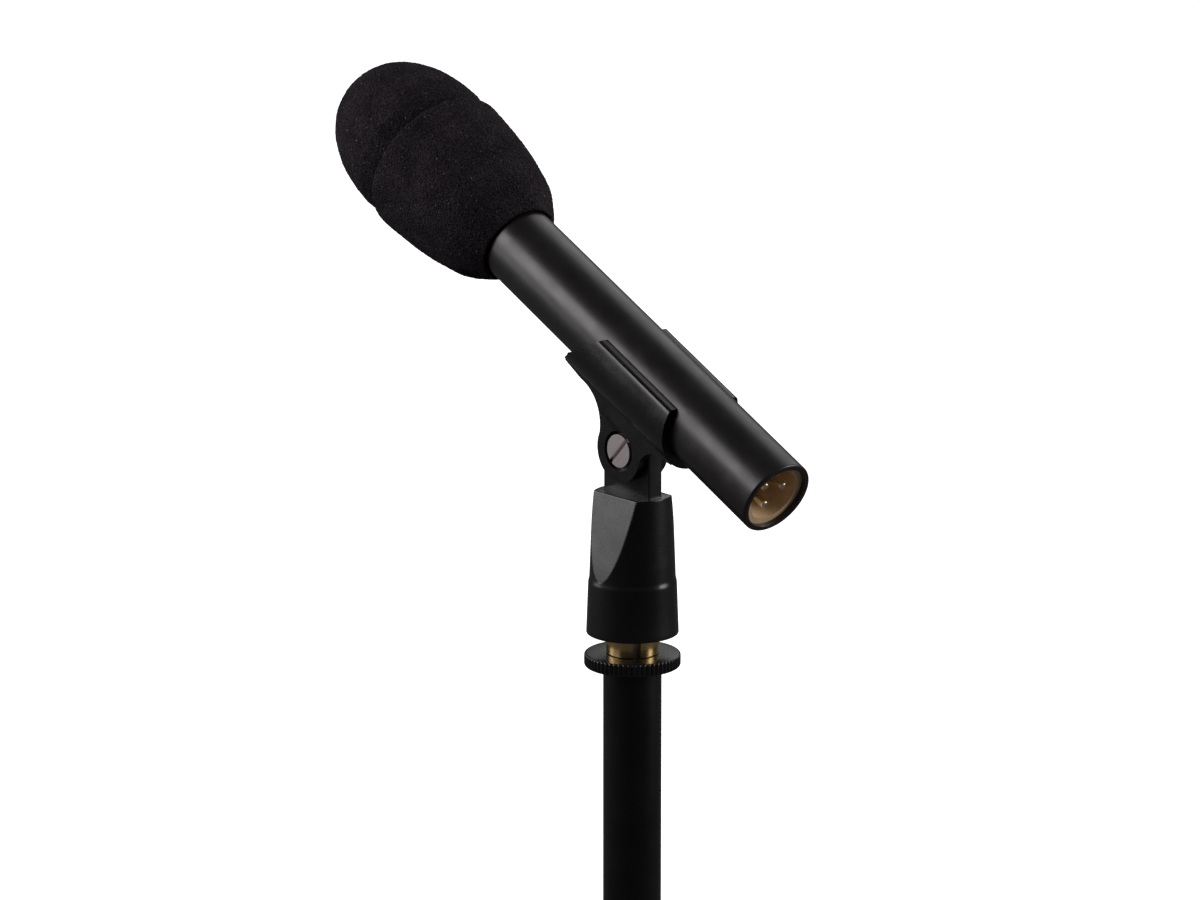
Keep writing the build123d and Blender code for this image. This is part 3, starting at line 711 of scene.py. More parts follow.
class Slot(Enum):
    """The record's material slots."""

    ROD = "rod_black"
    STEEL = "zinc_steel"
    RING = "ring_black"
    BRASS = "adapter_brass"
    CLIP = "clip_plastic"
    SCREW = "screw_black"
    BODY = "body_black"
    GOLD = "shell_gold"
    INSULATOR = "insulator_brown"
    PIN = "pin_silver"
    LEAD = "lead_red"
    CARRIER = "carrier_plastic"
    CORE = "core_iron"
    WINDING = "winding_copper"
    GRILLE = "grille_black"
    MESH = "mesh_steel"
    POP_FOAM = "foam_grey"
    RUBBER = "shock_rubber"
    CAPSULE = "capsule_plastic"
    FELT = "felt_white"
    MAGNET = "magnet_grey"
    FILM = "diaphragm_film"
    FOAM = "foam_black"


def turned_metal(colour: Colour, tint: Colour, roughness: float, **more: object) -> Finish:
    """Return a bare metal finish with turning marks."""
    return Finish(colour, tint, roughness, metallic=1.0, relief=Effect.TURNED, scale=9000.0,
                  depth=0.12, height=0.00002, **more)


FINISHES: dict[Slot, Finish] = {
    Slot.ROD: Finish((0.0034, 0.0033, 0.0042), (0.0046, 0.0044, 0.0054), 0.28, scale=3200.0,
                     depth=0.08, wear=0.08, bare=(0.03, 0.03, 0.03), dust=0.01, specular=0.35),
    Slot.STEEL: turned_metal((0.42, 0.41, 0.39), (0.50, 0.49, 0.46), 0.34),
    Slot.RING: Finish((0.0040, 0.0038, 0.0038), (0.0056, 0.0053, 0.0053), 0.25, scale=4200.0,
                      depth=0.10, wear=0.08, bare=(0.05, 0.05, 0.045), dust=0.01),
    Slot.BRASS: turned_metal((0.72, 0.50, 0.22), (0.60, 0.40, 0.16), 0.24, drift=0.07),
    Slot.CLIP: Finish((0.0030, 0.0027, 0.0038), (0.0046, 0.0042, 0.0056), 0.27, scale=3600.0,
                      depth=0.16, wear=0.4, bare=(0.020, 0.020, 0.022), dust=0.02),
    Slot.SCREW: turned_metal((0.58, 0.51, 0.52), (0.70, 0.63, 0.64), 0.40, drift=0.08, dust=0.06),
    Slot.BODY: Finish((0.0074, 0.0056, 0.0070), (0.0094, 0.0074, 0.0090), 0.35, scale=5200.0,
                      depth=0.12, wear=0.3, bare=(0.035, 0.032, 0.033), dust=0.01,
                      specular=0.6),
    Slot.GOLD: Finish((0.94, 0.70, 0.44), (0.80, 0.56, 0.32), 0.42, metallic=0.2,
                      relief=Effect.TURNED, scale=2500.0, depth=0.2),
    Slot.INSULATOR: Finish((0.060, 0.040, 0.022), (0.085, 0.058, 0.032), 0.42, scale=3000.0),
    Slot.PIN: turned_metal((0.95, 0.86, 0.68), (0.86, 0.74, 0.54), 0.30),
    Slot.LEAD: Finish((0.30, 0.020, 0.015), (0.38, 0.030, 0.022), 0.42, scale=2600.0),
    Slot.CARRIER: Finish((0.030, 0.031, 0.034), (0.040, 0.041, 0.044), 0.46),
    Slot.CORE: Finish((0.20, 0.19, 0.18), (0.14, 0.125, 0.11), 0.44, metallic=1.0, scale=4000.0,
                      depth=0.4),
    Slot.WINDING: turned_metal((0.62, 0.25, 0.10), (0.50, 0.18, 0.07), 0.32),
    Slot.GRILLE: Finish((0.010, 0.010, 0.011), (0.014, 0.014, 0.015), 0.36, wear=0.6,
                        bare=(0.12, 0.12, 0.12)),
    Slot.MESH: Finish((0.33, 0.33, 0.34), (0.22, 0.22, 0.23), 0.36, metallic=1.0),
    # The foam finishes paint light and shade: dark pits, paler rims and a few painted glints.
    Slot.POP_FOAM: FoamFinish((0.035, 0.035, 0.037), (0.06, 0.06, 0.062), 0.9,
                              relief=Effect.CELLS, scale=1700.0, depth=0.8, height=0.0003,
                              rim=(0.11, 0.11, 0.115)),
    Slot.RUBBER: Finish((0.014, 0.014, 0.014), (0.020, 0.020, 0.019), 0.66, scale=3400.0,
                        depth=0.3),
    Slot.CAPSULE: Finish((0.022, 0.022, 0.024), (0.030, 0.030, 0.032), 0.4),
    Slot.FELT: Finish((0.62, 0.60, 0.56), (0.50, 0.48, 0.44), 0.95, scale=5200.0, depth=0.8,
                      height=0.00012, sheen=0.3),
    Slot.MAGNET: turned_metal((0.30, 0.30, 0.31), (0.38, 0.38, 0.39), 0.28),
    Slot.FILM: Finish((0.55, 0.50, 0.38), (0.62, 0.57, 0.45), 0.28, coat=0.4),
    # Painted shade and light on the windscreen foam: dark pits, paler rims and a few painted glints.
    Slot.FOAM: FoamFinish((0.0004, 0.0003, 0.0004), (0.0016, 0.0012, 0.0016), 0.93, drift=0.04,
                          relief=Effect.CELLS, scale=1700.0, depth=1.0, height=0.0006,
                          specular=0.03, rim=(0.0440, 0.0370, 0.0440),
                          painted_glint=(0.26, 0.26, 0.27)),
}


def material_for(slot: Slot, axes: Axes) -> bpy.types.Material:
    """Return the slot's material with patterns that follow those axes, made once for each."""
    place = "_".join(f"{value / MM:.0f}" for value in axes.origin)
    name = f"{slot.value}_{place}"
    return bpy.data.materials.get(name) or FINISHES[slot].material(name, axes)


def dress_nodes(slots: dict[str, Slot], axes: Axes) -> None:
    """Give CAD nodes that keep their own shape their slot's material.

    Args:
        slots: Node name to its slot.
        axes: The axes that the patterns follow.
    """
    for node, slot in slots.items():
        materials = frame["nodes"][node].data.materials
        materials.clear()
        materials.append(material_for(slot, axes))
        log.info("node %s is finished as %s", node, slot.value)


def settle(piece: bpy.types.Object, body: str, slot: Slot, axes: Axes, *nodes: str) -> None:
    """Dress a piece, tie it to its body and let it stand for CAD nodes.

    Args:
        piece: The piece.
        body: The body that it moves with.
        slot: The material slot of its finish.
        axes: The axes that its patterns follow.
        *nodes: The CAD nodes that it stands for.
    """
    piece.data.materials.append(material_for(slot, axes))
    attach(piece, body)
    if nodes:
        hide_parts(*nodes)
    log.info("piece %s rides on %s with %d faces", piece.name, body, len(piece.data.polygons))


def settle_rounded(node: str, name: str, width: float, body: str, slot: Slot, axes: Axes,
                   segments: int = 3) -> None:
    """Settle a copy of a CAD node with rounded corners in the node's place.

    Args:
        node: The CAD node.
        name: The new piece's name.
        width: Width of the rounding, in millimetres.
        body: The body that it moves with.
        slot: The material slot of its finish.
        axes: The axes that its patterns follow.
        segments: Faces across the rounding.
    """
    settle(rounded_copy(node, name, width * MM, segments), body, slot, axes, node)


def drill(piece: bpy.types.Object, cutter: bpy.types.Object) -> None:
    """Cut a closed shape out of a piece, for good, and take the cutter away."""
    boolean = piece.modifiers.new("hole", "BOOLEAN")
    boolean.object, boolean.operation, boolean.solver = cutter, "DIFFERENCE", "EXACT"
    shown = piece.evaluated_get(bpy.context.evaluated_depsgraph_get())
    cut = bpy.data.meshes.new_from_object(shown)
    piece.modifiers.clear()
    piece.data = cut
    tidy_mesh(cut, SHARP)
    bpy.data.objects.remove(cutter)


# ---------------------------------------------------------------------------
# Stand side
# ---------------------------------------------------------------------------
@dataclass
class StandRod:
    """The black rod, with the threaded socket in its foot and the stud plug in its top."""

    radius: float = 8.9
    wall: float = 1.2
    rim: float = 0.5
    bore_rim: float = 0.15
    segments: int = 160

    def build(self) -> None:
        """Build the tube as a turned profile with rounded rims."""
        low, high = (corner.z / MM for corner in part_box("rod_tube"))
        inner = self.radius - self.wall
        profile = soften([(inner, low), (self.radius, low), (self.radius, high), (inner, high)],
                         [self.bore_rim, self.rim, self.rim, self.bore_rim])
        tube = Shape().add_grid(revolve(profile, self.segments), wrap_rows=True)
        axes = upright(0.0)
        settle(tube.build("rod_sleeve", axes), "stand_rod", Slot.ROD, axes, "rod_tube")
        dress_nodes({"rod_foot_socket": Slot.STEEL, "rod_top_stud": Slot.STEEL}, axes)


@dataclass
class LockingRing:
    """The knurled ring that locks the clip on the stud."""

    radius: float = 14.7
    bore: float = 4.8025
    teeth: int = 60
    groove: float = 0.42
    groove_fade: float = 0.5
    corner: float = 0.85
    bore_corner: float = 0.3
    steps_per_tooth: int = 10
    sharp: float = 50.0

    def build(self) -> None:
        """Build the ring: a turned profile whose rim has narrow upright grooves.

        A point at angle a and radius r moves inward by groove * ((1 + cos(teeth a)) / 2)^2,
        faded in over the last stretch of the radius.
        """
        low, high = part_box("locking_ring")
        thick = (high.z - low.z) / MM
        profile = soften([(self.bore, 0), (self.radius, 0), (self.radius, thick),
                          (self.bore, thick)],
                         [self.bore_corner, self.corner, self.corner, self.bore_corner], 9)
        grid = revolve(profile, self.teeth * self.steps_per_tooth)
        angle = np.arctan2(grid[..., 1], grid[..., 0])
        radius = np.hypot(grid[..., 0], grid[..., 1])
        cut = self.groove * ((1 + np.cos(self.teeth * angle)) / 2) ** 2
        fade = np.clip((radius - self.radius + self.groove_fade) / self.groove_fade, 0, 1)
        grid[..., :2] *= (1 - cut * fade / radius)[..., None]
        axes = upright(low.z)
        ring = Shape().add_grid(grid, wrap_rows=True)
        settle(ring.build("knurled_ring", axes, self.sharp), "lock_ring", Slot.RING, axes,
               "locking_ring")


@dataclass
class ThreadAdapter:
    """The brass bush between stud and clip, with a slot across its foot."""

    radius: float = 7.9375
    bore: float = 4.8025
    slot_width: float = 2.4
    slot_depth: float = 7.5
    slot_turn: float = -31.3
    edge: float = 0.3
    slot_columns: int = 9
    land_columns: int = 57

    def columns(self, radius: np.ndarray) -> tuple[np.ndarray, np.ndarray]:
        """Lay out columns round the bush that line up with the slot's walls.

        At radius r a wall that stands w/2 from the slot's middle plane is met at the angle
        asin(w / 2r), so each of the four stretches between walls is shared out evenly.

        Args:
            radius: (n, 1) radii.

        Returns:
            The (n, columns) angles, and whether each column lies in the slot.
        """
        half = np.arcsin(self.slot_width / 2 / radius)
        gap = np.linspace(-1, 1, self.slot_columns)[None]
        land = np.linspace(0, 1, self.land_columns)[None]
        stretches = []
        for start in (0, math.pi):
            stretches += [start + half * gap, start + half + (math.pi - 2 * half) * land]
        inside = np.concatenate([np.full(part.shape[1], number % 2 == 0)
                                 for number, part in enumerate(stretches)])
        return np.concatenate(stretches, axis=1) + math.radians(self.slot_turn), inside

    def build(self) -> None:
        """Build the bush: a turned profile whose foot rises to the slot's depth in the slot."""
        low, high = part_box("thread_adapter")
        length = (high.z - low.z) / MM
        corners = [(self.bore, 0), (self.radius, 0), (self.radius, length), (self.bore, length)]
        profile = soften(corners, self.edge)
        angles, inside = self.columns(profile[:, :1])
        radius, height = profile[:, :1], profile[:, 1:]
        height = np.where(inside, np.maximum(height, self.slot_depth), height)
        grid = turned(radius, angles, height)
        axes = upright(low.z)
        bush = Shape().add_grid(grid, wrap_rows=True).build("brass_bush", axes)
        settle(bush, "stand_rod", Slot.BRASS, axes, "thread_adapter")


# ---------------------------------------------------------------------------
# Clip
# ---------------------------------------------------------------------------
@dataclass
class SwivelBase:
    """The moulded base: a skirt, a cone with two facets, and the tongue for the pivot."""

    skirt: tuple[float, float, float] = (14.05, 13.45, 16.0)
    cone: tuple[float, float] = (13.1, 12.1)
    ledge: float = 17.5
    height: float = 43.5
    facet_top: float = 7.0
    facet_blend: float = 0.05
    bore: float = 7.9775
    bore_depth: float = 15.5
    bore_round: float = 0.2
    bore_mouth: float = 0.3
    rim: float = 0.28
    rim_rows: int = 6
    tongue: tuple[float, float] = (10.35, 2.6)
    tongue_edge: float = 0.35
    hole: float = 2.58
    skirt_rows: tuple[float, int] = (0.6, 12)
    step_rows: tuple[float, float, int] = (0.4, 0.5, 18)
    cone_rows: tuple[float, int] = (0.6, 150)
    segments: int = 288
    sharp: float = 30.0

    def side(self, angle: np.ndarray, height: np.ndarray) -> np.ndarray:
        """Return the radius of the outside at an angle and height.

        The turned profile P(z) and the facet's plane, seen from the axis as F(z) / |sin a|, meet
        in the soft minimum (P + F - sqrt((P - F)^2 + k^2)) / 2.

        Args:
            angle: Angles.
            height: Heights above the foot.

        Returns:
            An array of radii.
        """
        foot, top, skirt = self.skirt
        outline = soften([(foot, 0), (top, skirt), (self.cone[0], self.ledge),
                          (self.cone[1], self.height)], [0, 0.5, 0.5, 0], 9, closed=False)
        profile = np.interp(height, outline[:, 1], outline[:, 0])
        climb = np.clip((height - self.ledge) / (self.height - self.ledge), 0, 1)
        plane = self.cone[0] + (self.facet_top - self.cone[0]) * climb
        plane = np.where(height < self.ledge, 2 * foot, plane)
        facet = plane / np.maximum(np.abs(np.sin(angle)), 0.2)
        apart = profile - facet
        return (profile + facet - np.sqrt(apart ** 2 + self.facet_blend ** 2)) / 2

    def side_heights(self) -> np.ndarray:
        """Return the heights of the side's rows, which lie closer where skirt and cone meet."""
        below, skirt_count = self.skirt_rows
        under, over, step_count = self.step_rows
        above, cone_count = self.cone_rows
        skirt = np.linspace(self.rim, self.skirt[2] - below, skirt_count)
        step = np.linspace(self.skirt[2] - under, self.ledge + over, step_count)
        cone = np.linspace(self.ledge + above, self.height - self.rim, cone_count)
        return np.concatenate((skirt, step, cone))[:, None]

    def shell(self) -> np.ndarray:
        """Work out the base's surface, from the end of its bore round its foot to its top's middle.

        The rim at the foot and at the top is a quarter circle of the rim's radius.

        Returns:
            A grid of points, closed at the axis at both ends.
        """
        angle = np.linspace(0, TURN, self.segments, endpoint=False)[None]
        bend = np.linspace(0, math.pi / 2, self.rim_rows)[:, None]
        side_z = self.side_heights()
        foot_z, top_z = self.rim * (1 - np.sin(bend)), self.height - self.rim * (1 - np.sin(bend))
        foot = self.side(angle, foot_z) - self.rim * (1 - np.cos(bend))
        top = self.side(angle, top_z) - self.rim * (1 - np.cos(bend))
        inner = np.array([[0.0], [self.bore - self.bore_round], [self.bore], [self.bore],
                          [self.bore + self.bore_mouth]])
        inner_z = np.array([[self.bore_depth], [self.bore_depth],
                            [self.bore_depth - self.bore_round], [self.bore_mouth], [0.0]])
        shares = np.array([[0.66], [0.33], [0.0]])
        radius = np.concatenate((inner + 0 * angle, foot[::-1], self.side(angle, side_z),
                                 top, top[-1:] * shares))
        height = np.concatenate((inner_z, foot_z[::-1], side_z, top_z,
                                 np.full_like(shares, self.height)))
        return turned(radius, angle, height)

    def build(self) -> None:
        """Build the base, and its tongue as a plate with a round end and the pivot's hole."""
        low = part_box("swivel_base")[0]
        pivot = (JOINTS["clip_tilt"]["pos_m"][2] - low.z) / MM
        half, thick = self.tongue
        arc = np.linspace(0, math.pi, 49)
        round_end = np.stack((half * np.cos(arc), pivot + half * np.sin(arc)), axis=1)
        legs = np.linspace(pivot, self.height - 1, 10)[1:]
        left = np.stack((np.full_like(legs, -half), legs), axis=1)
        outline = np.concatenate((round_end, left, left[::-1] * (-1, 1)))
        shape = Shape().add_grid(self.shell())
        shape.add_slab(outline, -thick, thick, self.tongue_edge, (0.0, pivot, self.hole))
        axes = upright(low.z)
        settle(shape.build("clip_base", axes, self.sharp), "swivel", Slot.CLIP, axes,
               "swivel_base")


@dataclass
class ClipCradle:
    """The open cradle with its two ears, and the nut in the far one."""

    rounding: float = 0.32
    nut_rounding: float = 0.18

    def build(self) -> None:
        """Round the edges of the moulded cradle and of the nut."""
        axes = Axes(Vector(JOINTS["clip_tilt"]["pos_m"]), microphone_axes().along)
        settle_rounded("clip_cradle", "cradle_shell", self.rounding, "cradle", Slot.CLIP, axes)
        settle_rounded("pivot_nut", "clamp_nut", self.nut_rounding, "cradle", Slot.STEEL, axes)


@dataclass
class ClampScrew:
    """The slotted screw through the pivot."""

    rounding: float = 0.14

    def build(self) -> None:
        """Round the edges of the head and of its slot."""
        axes = upright(JOINTS["clip_tilt"]["pos_m"][2])
        settle_rounded("pivot_screw", "slotted_screw", self.rounding, "clamp_screw", Slot.SCREW,
                       axes)


# ---------------------------------------------------------------------------
# Microphone
# ---------------------------------------------------------------------------
@dataclass
class MicrophoneBody:
    """The body tube, with its grub screw and the transformer and leads inside."""

    radius: float = 12.0
    bore: float = 10.8
    length: float = 153.4
    opening: float = 10.2
    lip: float = 1.6
    rim: float = 0.75
    edges: tuple[float, ...] = (0.25, 0.25, 0.2, 0.1, 0.2)
    segments: int = 192
    grub_at: float = 9.0
    grub_hole: float = 1.04
    grub_rounding: float = 0.08
    bit_reach: float = 2.0
    bit_edge: float = 0.1

    def bit(self, axes: Axes) -> bpy.types.Object:
        """Return the cutter of the grub screw's hole, a short round bar across the tube's wall."""
        arc = np.linspace(0, TURN, 40, endpoint=False)
        ring = self.grub_hole * np.stack((np.cos(arc), np.sin(arc)), axis=1)
        ring[:, 1] += self.grub_at
        bar = Shape().add_slab(ring, self.bore - self.bit_reach, self.radius + self.bit_reach,
                               self.bit_edge)
        return bar.build("bit", axes)

    def build(self) -> None:
        """Build the tube as a turned profile, and drill the grub screw's hole."""
        corners = [(self.opening, 0), (self.radius, 0), (self.radius, self.length),
                   (self.bore, self.length), (self.bore, self.lip), (self.opening, self.lip)]
        profile = soften(corners, [self.edges[0], self.rim, *self.edges[1:]], 9)
        axes = microphone_axes()
        sleeve = Shape().add_grid(revolve(profile, self.segments), wrap_rows=True)
        tube = sleeve.build("body_sleeve", axes)
        drill(tube, self.bit(axes))
        settle(tube, "microphone", Slot.BODY, axes, "body_tube")
        settle_rounded("connector_grub_screw", "grub_screw", self.grub_rounding, "microphone",
                       Slot.STEEL, axes)
        dress_nodes({"transformer_carrier": Slot.CARRIER, "transformer_core": Slot.CORE,
                     "transformer_winding": Slot.WINDING, "capsule_leads": Slot.LEAD,
                     "connector_leads": Slot.LEAD}, axes)


@dataclass
class Connector:
    """The three-pin inlet in the tail."""

    pin: float = 1.2
    pin_tail: float = 0.9
    pin_circle: float = 4.4
    pin_start: float = 2.6
    pin_step: float = 20.0
    pin_end: float = 23.0
    first_turn: float = 70.0
    pins: int = 3
    nose: float = 0.9
    step_edge: float = 0.05
    tail_edge: float = 0.2
    pin_segments: int = 40
    rounding: float = 0.12

    def build(self) -> None:
        """Build the pins as turned profiles with round noses, and round the shell and insulator."""
        axes = microphone_axes()
        profile = soften([(0, self.pin_start), (self.pin, self.pin_start),
                          (self.pin, self.pin_step), (self.pin_tail, self.pin_step),
                          (self.pin_tail, self.pin_end), (0, self.pin_end)],
                         [0, self.nose, self.step_edge, self.step_edge, self.tail_edge, 0], 9,
                         closed=False)
        shape = Shape()
        for turn in self.first_turn + np.arange(self.pins) * 360 / self.pins:
            grid = revolve(profile, self.pin_segments)
            grid[..., 0] += self.pin_circle * math.cos(math.radians(turn))
            grid[..., 1] += self.pin_circle * math.sin(math.radians(turn))
            shape.add_grid(grid)
        settle(shape.build("contact_pins", axes), "microphone", Slot.PIN, axes, "xlr_pins")
        settle_rounded("connector_shell", "inlet_shell", self.rounding, "microphone", Slot.GOLD,
                       axes)
        settle_rounded("xlr_insulator", "inlet_insulator", self.rounding, "microphone",
                       Slot.INSULATOR, axes)
        dress_nodes({"ground_lug": Slot.STEEL}, axes)


@dataclass
class Head:
    """The grille and the capsule behind it."""

    rounding: float = 0.14
    rounding_steps: int = 2

    def build(self) -> None:
        """Round the grille's slots, and dress the mesh and the capsule's pieces."""
        axes = microphone_axes()
        settle_rounded("grille_frame", "grille_cage", self.rounding, "microphone", Slot.GRILLE,
                       axes, self.rounding_steps)
        dress_nodes({"grille_mesh": Slot.MESH, "pop_disc": Slot.POP_FOAM,
                     "front_shock_ring": Slot.RUBBER, "rear_shock_ring": Slot.RUBBER,
                     "capsule_housing": Slot.CAPSULE, "felt_damper": Slot.FELT,
                     "yoke_cup": Slot.STEEL, "magnet": Slot.MAGNET, "pole_plate": Slot.STEEL,
                     "chassis_ring": Slot.CAPSULE, "resonator_plate": Slot.CAPSULE,
                     "clamp_ring": Slot.STEEL, "diaphragm": Slot.FILM,
                     "voice_coil": Slot.WINDING}, axes)


@dataclass
class Windscreen:
    """The black foam ball with its groove, hollow where the head goes in."""

    start: float = 130.2
    end: float = 214.4
    neck: float = 12.3
    neck_run: float = 3.0
    lip: float = 1.6
    cavity_end: float = 192.9
    cavity_round: float = 2.0
    shoulder: tuple[tuple[float, float], ...] = (
        (13.2, 130.2), (16.3, 134.6), (19.3, 139.8), (21.0, 145.9), (22.5, 152.8), (23.5, 160.7),
        (24.1, 167.6), (24.48, 173.0))
    shoulder_way: tuple[float, float] = (0.02, 1.6)
    groove_r: float = 21.5
    groove_at: float = 175.8
    groove_back: tuple[float, float] = (0.1, 0.9)
    groove_front: tuple[float, float] = (1.1, 2.3)
    groove_run: float = 6.0
    groove_under: float = 0.03
    groove_rounds: tuple[float, ...] = (0, 0.8, 0.5, 2.0, 0)
    nose_r: float = 23.8
    nose_start: float = 179.0
    nose_power: float = 2.26
    nose_gap: float = 0.2
    rows: int = 190
    segments: int = 400
    lumps: tuple[float, float] = (0.05, 9.0)
    cells: tuple[float, float] = (0.07, 1.5)
    fade_rows: tuple[int, int] = (6, 4)

    def outline(self) -> np.ndarray:
        """Return the foam's outside from its mouth to its tip, in rows of even length.

        The shoulder follows cubic curves through its points, each with the slope between its
        neighbours. The groove dips in steeply, comes out on a long ramp and has rounded corners,
        and the nose is the superellipse (r / R)^p + (z / L)^p = 1.

        Returns:
            An (n, 2) array of radius and height.
        """
        points = np.array(self.shoulder)
        before = np.concatenate((2 * points[:1] - points[1:2], points[:-1]))
        after = np.concatenate((points[1:], points[-1:] + self.shoulder_way))
        slope = (after - before) / 2
        t = np.linspace(0, 1, 12)[None, :, None]
        a, b, m, n = (part[:, None] for part in (points[:-1], points[1:], slope[:-1], slope[1:]))
        curve = ((2 * t ** 3 - 3 * t ** 2 + 1) * a + (t ** 3 - 2 * t ** 2 + t) * m
                 + (3 * t ** 2 - 2 * t ** 3) * b + (t ** 3 - t ** 2) * n).reshape(-1, 2)
        back, front, bottom = self.groove_back, self.groove_front, self.groove_at
        ramp_end = bottom + self.groove_run
        groove = soften([tuple(points[-1]), (points[-1][0] - back[0], bottom - back[1]),
                         (self.groove_r, bottom), (self.nose_r - front[0], bottom + front[1]),
                         (self.nose_r - self.groove_under, ramp_end)],
                        self.groove_rounds, 9, closed=False)
        turn = np.linspace(0, math.pi / 2, 160)[:, None]
        nose = np.concatenate((self.nose_r * np.cos(turn) ** (2 / self.nose_power),
                               self.nose_start + (self.end - self.nose_start)
                               * np.sin(turn) ** (2 / self.nose_power)), axis=1)
        nose = nose[nose[:, 1] > ramp_end + self.nose_gap]
        path = np.concatenate((curve, groove[1:], nose))
        length = np.concatenate(([0], np.cumsum(np.linalg.norm(np.diff(path, axis=0), axis=1))))
        even = np.linspace(0, length[-1], self.rows)
        return np.stack([np.interp(even, length, path[:, axis]) for axis in (0, 1)], axis=1)

    def hollow(self) -> np.ndarray:
        """Return the foam's inside from the axis to its mouth, with round corners."""
        neck = (self.neck, self.start + self.neck_run)
        mouth = soften([self.shoulder[0], (self.neck, self.start), neck], [0, self.lip, 0], 9,
                       closed=False)
        cavity = soften([neck, (self.neck, self.cavity_end), (0.0, self.cavity_end)],
                        [0, self.cavity_round, 0], closed=False)
        return np.concatenate((mouth, cavity[1:]))[::-1]

    def roughness(self, grid: np.ndarray, inside: int) -> np.ndarray:
        """Work out how far each point of the outside moves out, in slow lumps and fine cells.

        Both are smooth noise, less an offset that keeps most of it under the plain outline, and
        both fade out over the first rows at the mouth and the last at the tip.

        Args:
            grid: The foam's grid of points.
            inside: How many of its rows belong to the hollow, which stays smooth.

        Returns:
            An array of distances, one for each point of the grid.
        """
        swell = self.lumps[0] * (wave_noise(grid, self.lumps[1], seed=11) - 1.0)
        swell += self.cells[0] * (wave_noise(grid, self.cells[1], seed=12, waves=24) - 0.5)
        from_mouth = np.arange(len(grid)) - inside
        from_tip = len(grid) - 1 - inside - from_mouth
        mouth_fade, tip_fade = self.fade_rows
        fade = np.clip(from_mouth / mouth_fade, 0, 1) * np.clip(from_tip / tip_fade, 0, 1)
        return swell * fade[:, None]

    def build(self) -> None:
        """Build the foam: outside and hollow in one closed profile, roughened outside.

        At a profile's direction (dr, dz) a point moves along (dz cos a, dz sin a, -dr).
        """
        inside = self.hollow()
        profile = np.concatenate((inside, self.outline()))
        profile[-1, 0] = 0.0
        grid = revolve(profile, self.segments)
        way = np.gradient(profile, axis=0)
        way /= lengths_of(way)
        angle = np.arctan2(grid[..., 1], grid[..., 0])
        grid += (turned(way[:, 1:], angle, -way[:, :1])
                 * self.roughness(grid, len(inside))[..., None])
        axes = microphone_axes()
        foam = Shape().add_grid(grid).build("foam_ball", axes, 180)
        settle(foam, "windscreen", Slot.FOAM, axes, "foam_windscreen")


# ---------------------------------------------------------------------------
# Studio
# ---------------------------------------------------------------------------
@dataclass(frozen=True)
class Softbox:
    """A soft rectangular light that points at the microphone.

    Args:
        name: The light's name.
        azimuth: Direction to it in degrees, turned from -Y towards +X.
        elevation: Its height angle in degrees.
        distance: Distance in metres.
        size: Width and height in metres.
        power: Power in watts.
        colour: Its colour.
    """

    name: str
    azimuth: float
    elevation: float
    distance: float
    size: tuple[float, float]
    power: float
    colour: Colour = (1.0, 1.0, 1.0)

    def place(self, target: Vector) -> None:
        """Hang the light in its direction, facing the target."""
        light = bpy.data.lights.new(self.name, "AREA")
        light.shape, (light.size, light.size_y) = "RECTANGLE", self.size
        light.energy, light.color = self.power, self.colour
        aim(add_object(self.name, light), target, direction(self.azimuth, self.elevation),
            self.distance)


def direction(azimuth: float, elevation: float) -> Vector:
    """Return the unit vector of an azimuth and an elevation in degrees."""
    turn, rise = math.radians(azimuth), math.radians(elevation)
    return Vector((math.sin(turn) * math.cos(rise), -math.cos(turn) * math.cos(rise),
                   math.sin(rise)))


def aim(thing: bpy.types.Object, target: Vector, way: Vector, distance: float) -> None:
    """Place a camera or light that far from the target, that way, and point it there."""
    thing.location = target + way * distance
    thing.rotation_euler = way.to_track_quat("Z", "Y").to_euler()


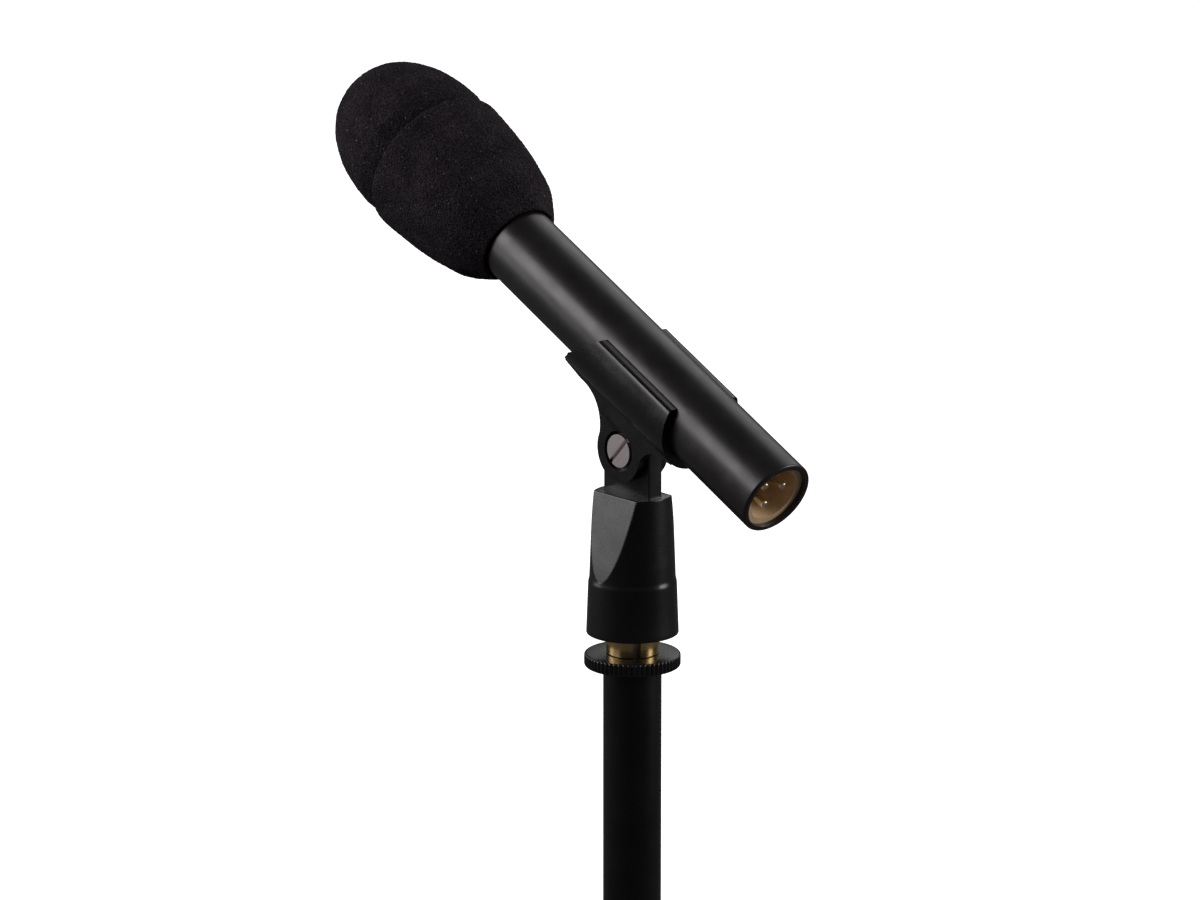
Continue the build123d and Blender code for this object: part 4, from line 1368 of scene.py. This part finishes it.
@dataclass
class Studio:
    """The camera, the lights and the pale floor."""

    target: tuple[float, float, float] = (-0.00643, -0.00744, 0.1631)
    azimuth: float = 49.18
    elevation: float = 13.76
    distance: float = 1.5392
    lens: float = 153.65
    sensor: float = 36.0
    floor_size: float = 14.0
    floor_drop: float = 0.0002
    floor_glow: float = 1.0
    floor_unseen: float = 0.11
    surround_unseen: float = 0.08
    boxes: tuple[Softbox, ...] = (
        Softbox("left_softbox", -27.0, 30.5, 1.25, (0.62, 0.6), 5.6, (1.0, 0.95, 0.97)),
        Softbox("far_left_softbox", -56.0, 14.0, 1.4, (0.6, 0.7), 5.4),
        Softbox("right_softbox", 136.0, 17.0, 1.4, (0.55, 0.9), 10.0, (1.0, 0.97, 0.95)),
        Softbox("back_softbox", 206.0, 36.0, 1.7, (1.5, 1.2), 5.6),
    )

    def place_camera(self) -> None:
        """Place the camera and make it the scene's own."""
        data = bpy.data.cameras.new("camera")
        data.lens, data.sensor_width = self.lens, self.sensor
        camera = add_object("camera", data)
        aim(camera, Vector(self.target), direction(self.azimuth, self.elevation), self.distance)
        bpy.context.scene.camera = camera

    def pale_material(self) -> bpy.types.Material:
        """Return the floor's material: a glowing white to the camera, a matt grey to the rest."""
        made = bpy.data.materials.new("pale_floor")
        made.use_nodes = True
        wire = Wiring(made.node_tree)
        shader = made.node_tree.nodes["Principled BSDF"]
        ray = wire.add("LightPath")
        place = wire.add("TexCoord").outputs["Object"]
        tone = wire.spread(wire.noise(place, 2.0, detail=4.0), 0.3, 0.7)
        colour = wire.mix(tone, (0.80, 0.80, 0.80, 1), (0.83, 0.83, 0.83, 1))
        unseen = (*[self.floor_unseen] * 3, 1)
        colour = wire.mix(ray.outputs["Is Camera Ray"], unseen, colour)
        glow = wire.math("MULTIPLY", ray.outputs["Is Camera Ray"], self.floor_glow)
        wire.feed(shader, {"Base Color": colour, "Roughness": 0.9, "Specular IOR Level": 0.1,
                           "Emission Color": (1, 1, 1, 1), "Emission Strength": glow})
        return made

    def place_floor(self) -> None:
        """Lay the floor just under the rod's foot."""
        half = self.floor_size / 2
        corners = [(x * half, y * half, -self.floor_drop)
                   for x, y in ((-1, -1), (1, -1), (1, 1), (-1, 1))]
        mesh = bpy.data.meshes.new("floor")
        mesh.from_pydata(corners, [], [(0, 1, 2, 3)])
        mesh.materials.append(self.pale_material())
        floor = add_object("floor", mesh)

    def place_world(self) -> None:
        """Surround the scene with white that the camera sees and a dim grey for all else."""
        world = bpy.data.worlds.new("surround")
        world.use_nodes = True
        wire = Wiring(world.node_tree)
        shader = world.node_tree.nodes["Background"]
        seen = wire.add("LightPath").outputs["Is Camera Ray"]
        wire.feed(shader, {"Color": (1, 1, 1, 1),
                           "Strength": wire.spread(seen, 0, 1, self.surround_unseen, 1.0)})
        bpy.context.scene.world = world

    def build(self) -> None:
        """Place the camera, the surround, the floor and the lights."""
        self.place_camera()
        self.place_world()
        self.place_floor()
        for box in self.boxes:
            box.place(Vector(self.target))
        bpy.context.scene.view_settings.view_transform = "Standard"


def main() -> None:
    """Build every sub-assembly in order."""
    logging.basicConfig(level=logging.INFO, format="%(name)s: %(message)s")
    for assembly in (Studio(), StandRod(), LockingRing(), ThreadAdapter(), SwivelBase(),
                     ClipCradle(), ClampScrew(), MicrophoneBody(), Connector(), Head(),
                     Windscreen()):
        log.info("building %s", type(assembly).__name__)
        assembly.build()


if __name__ == "__main__":
    main()
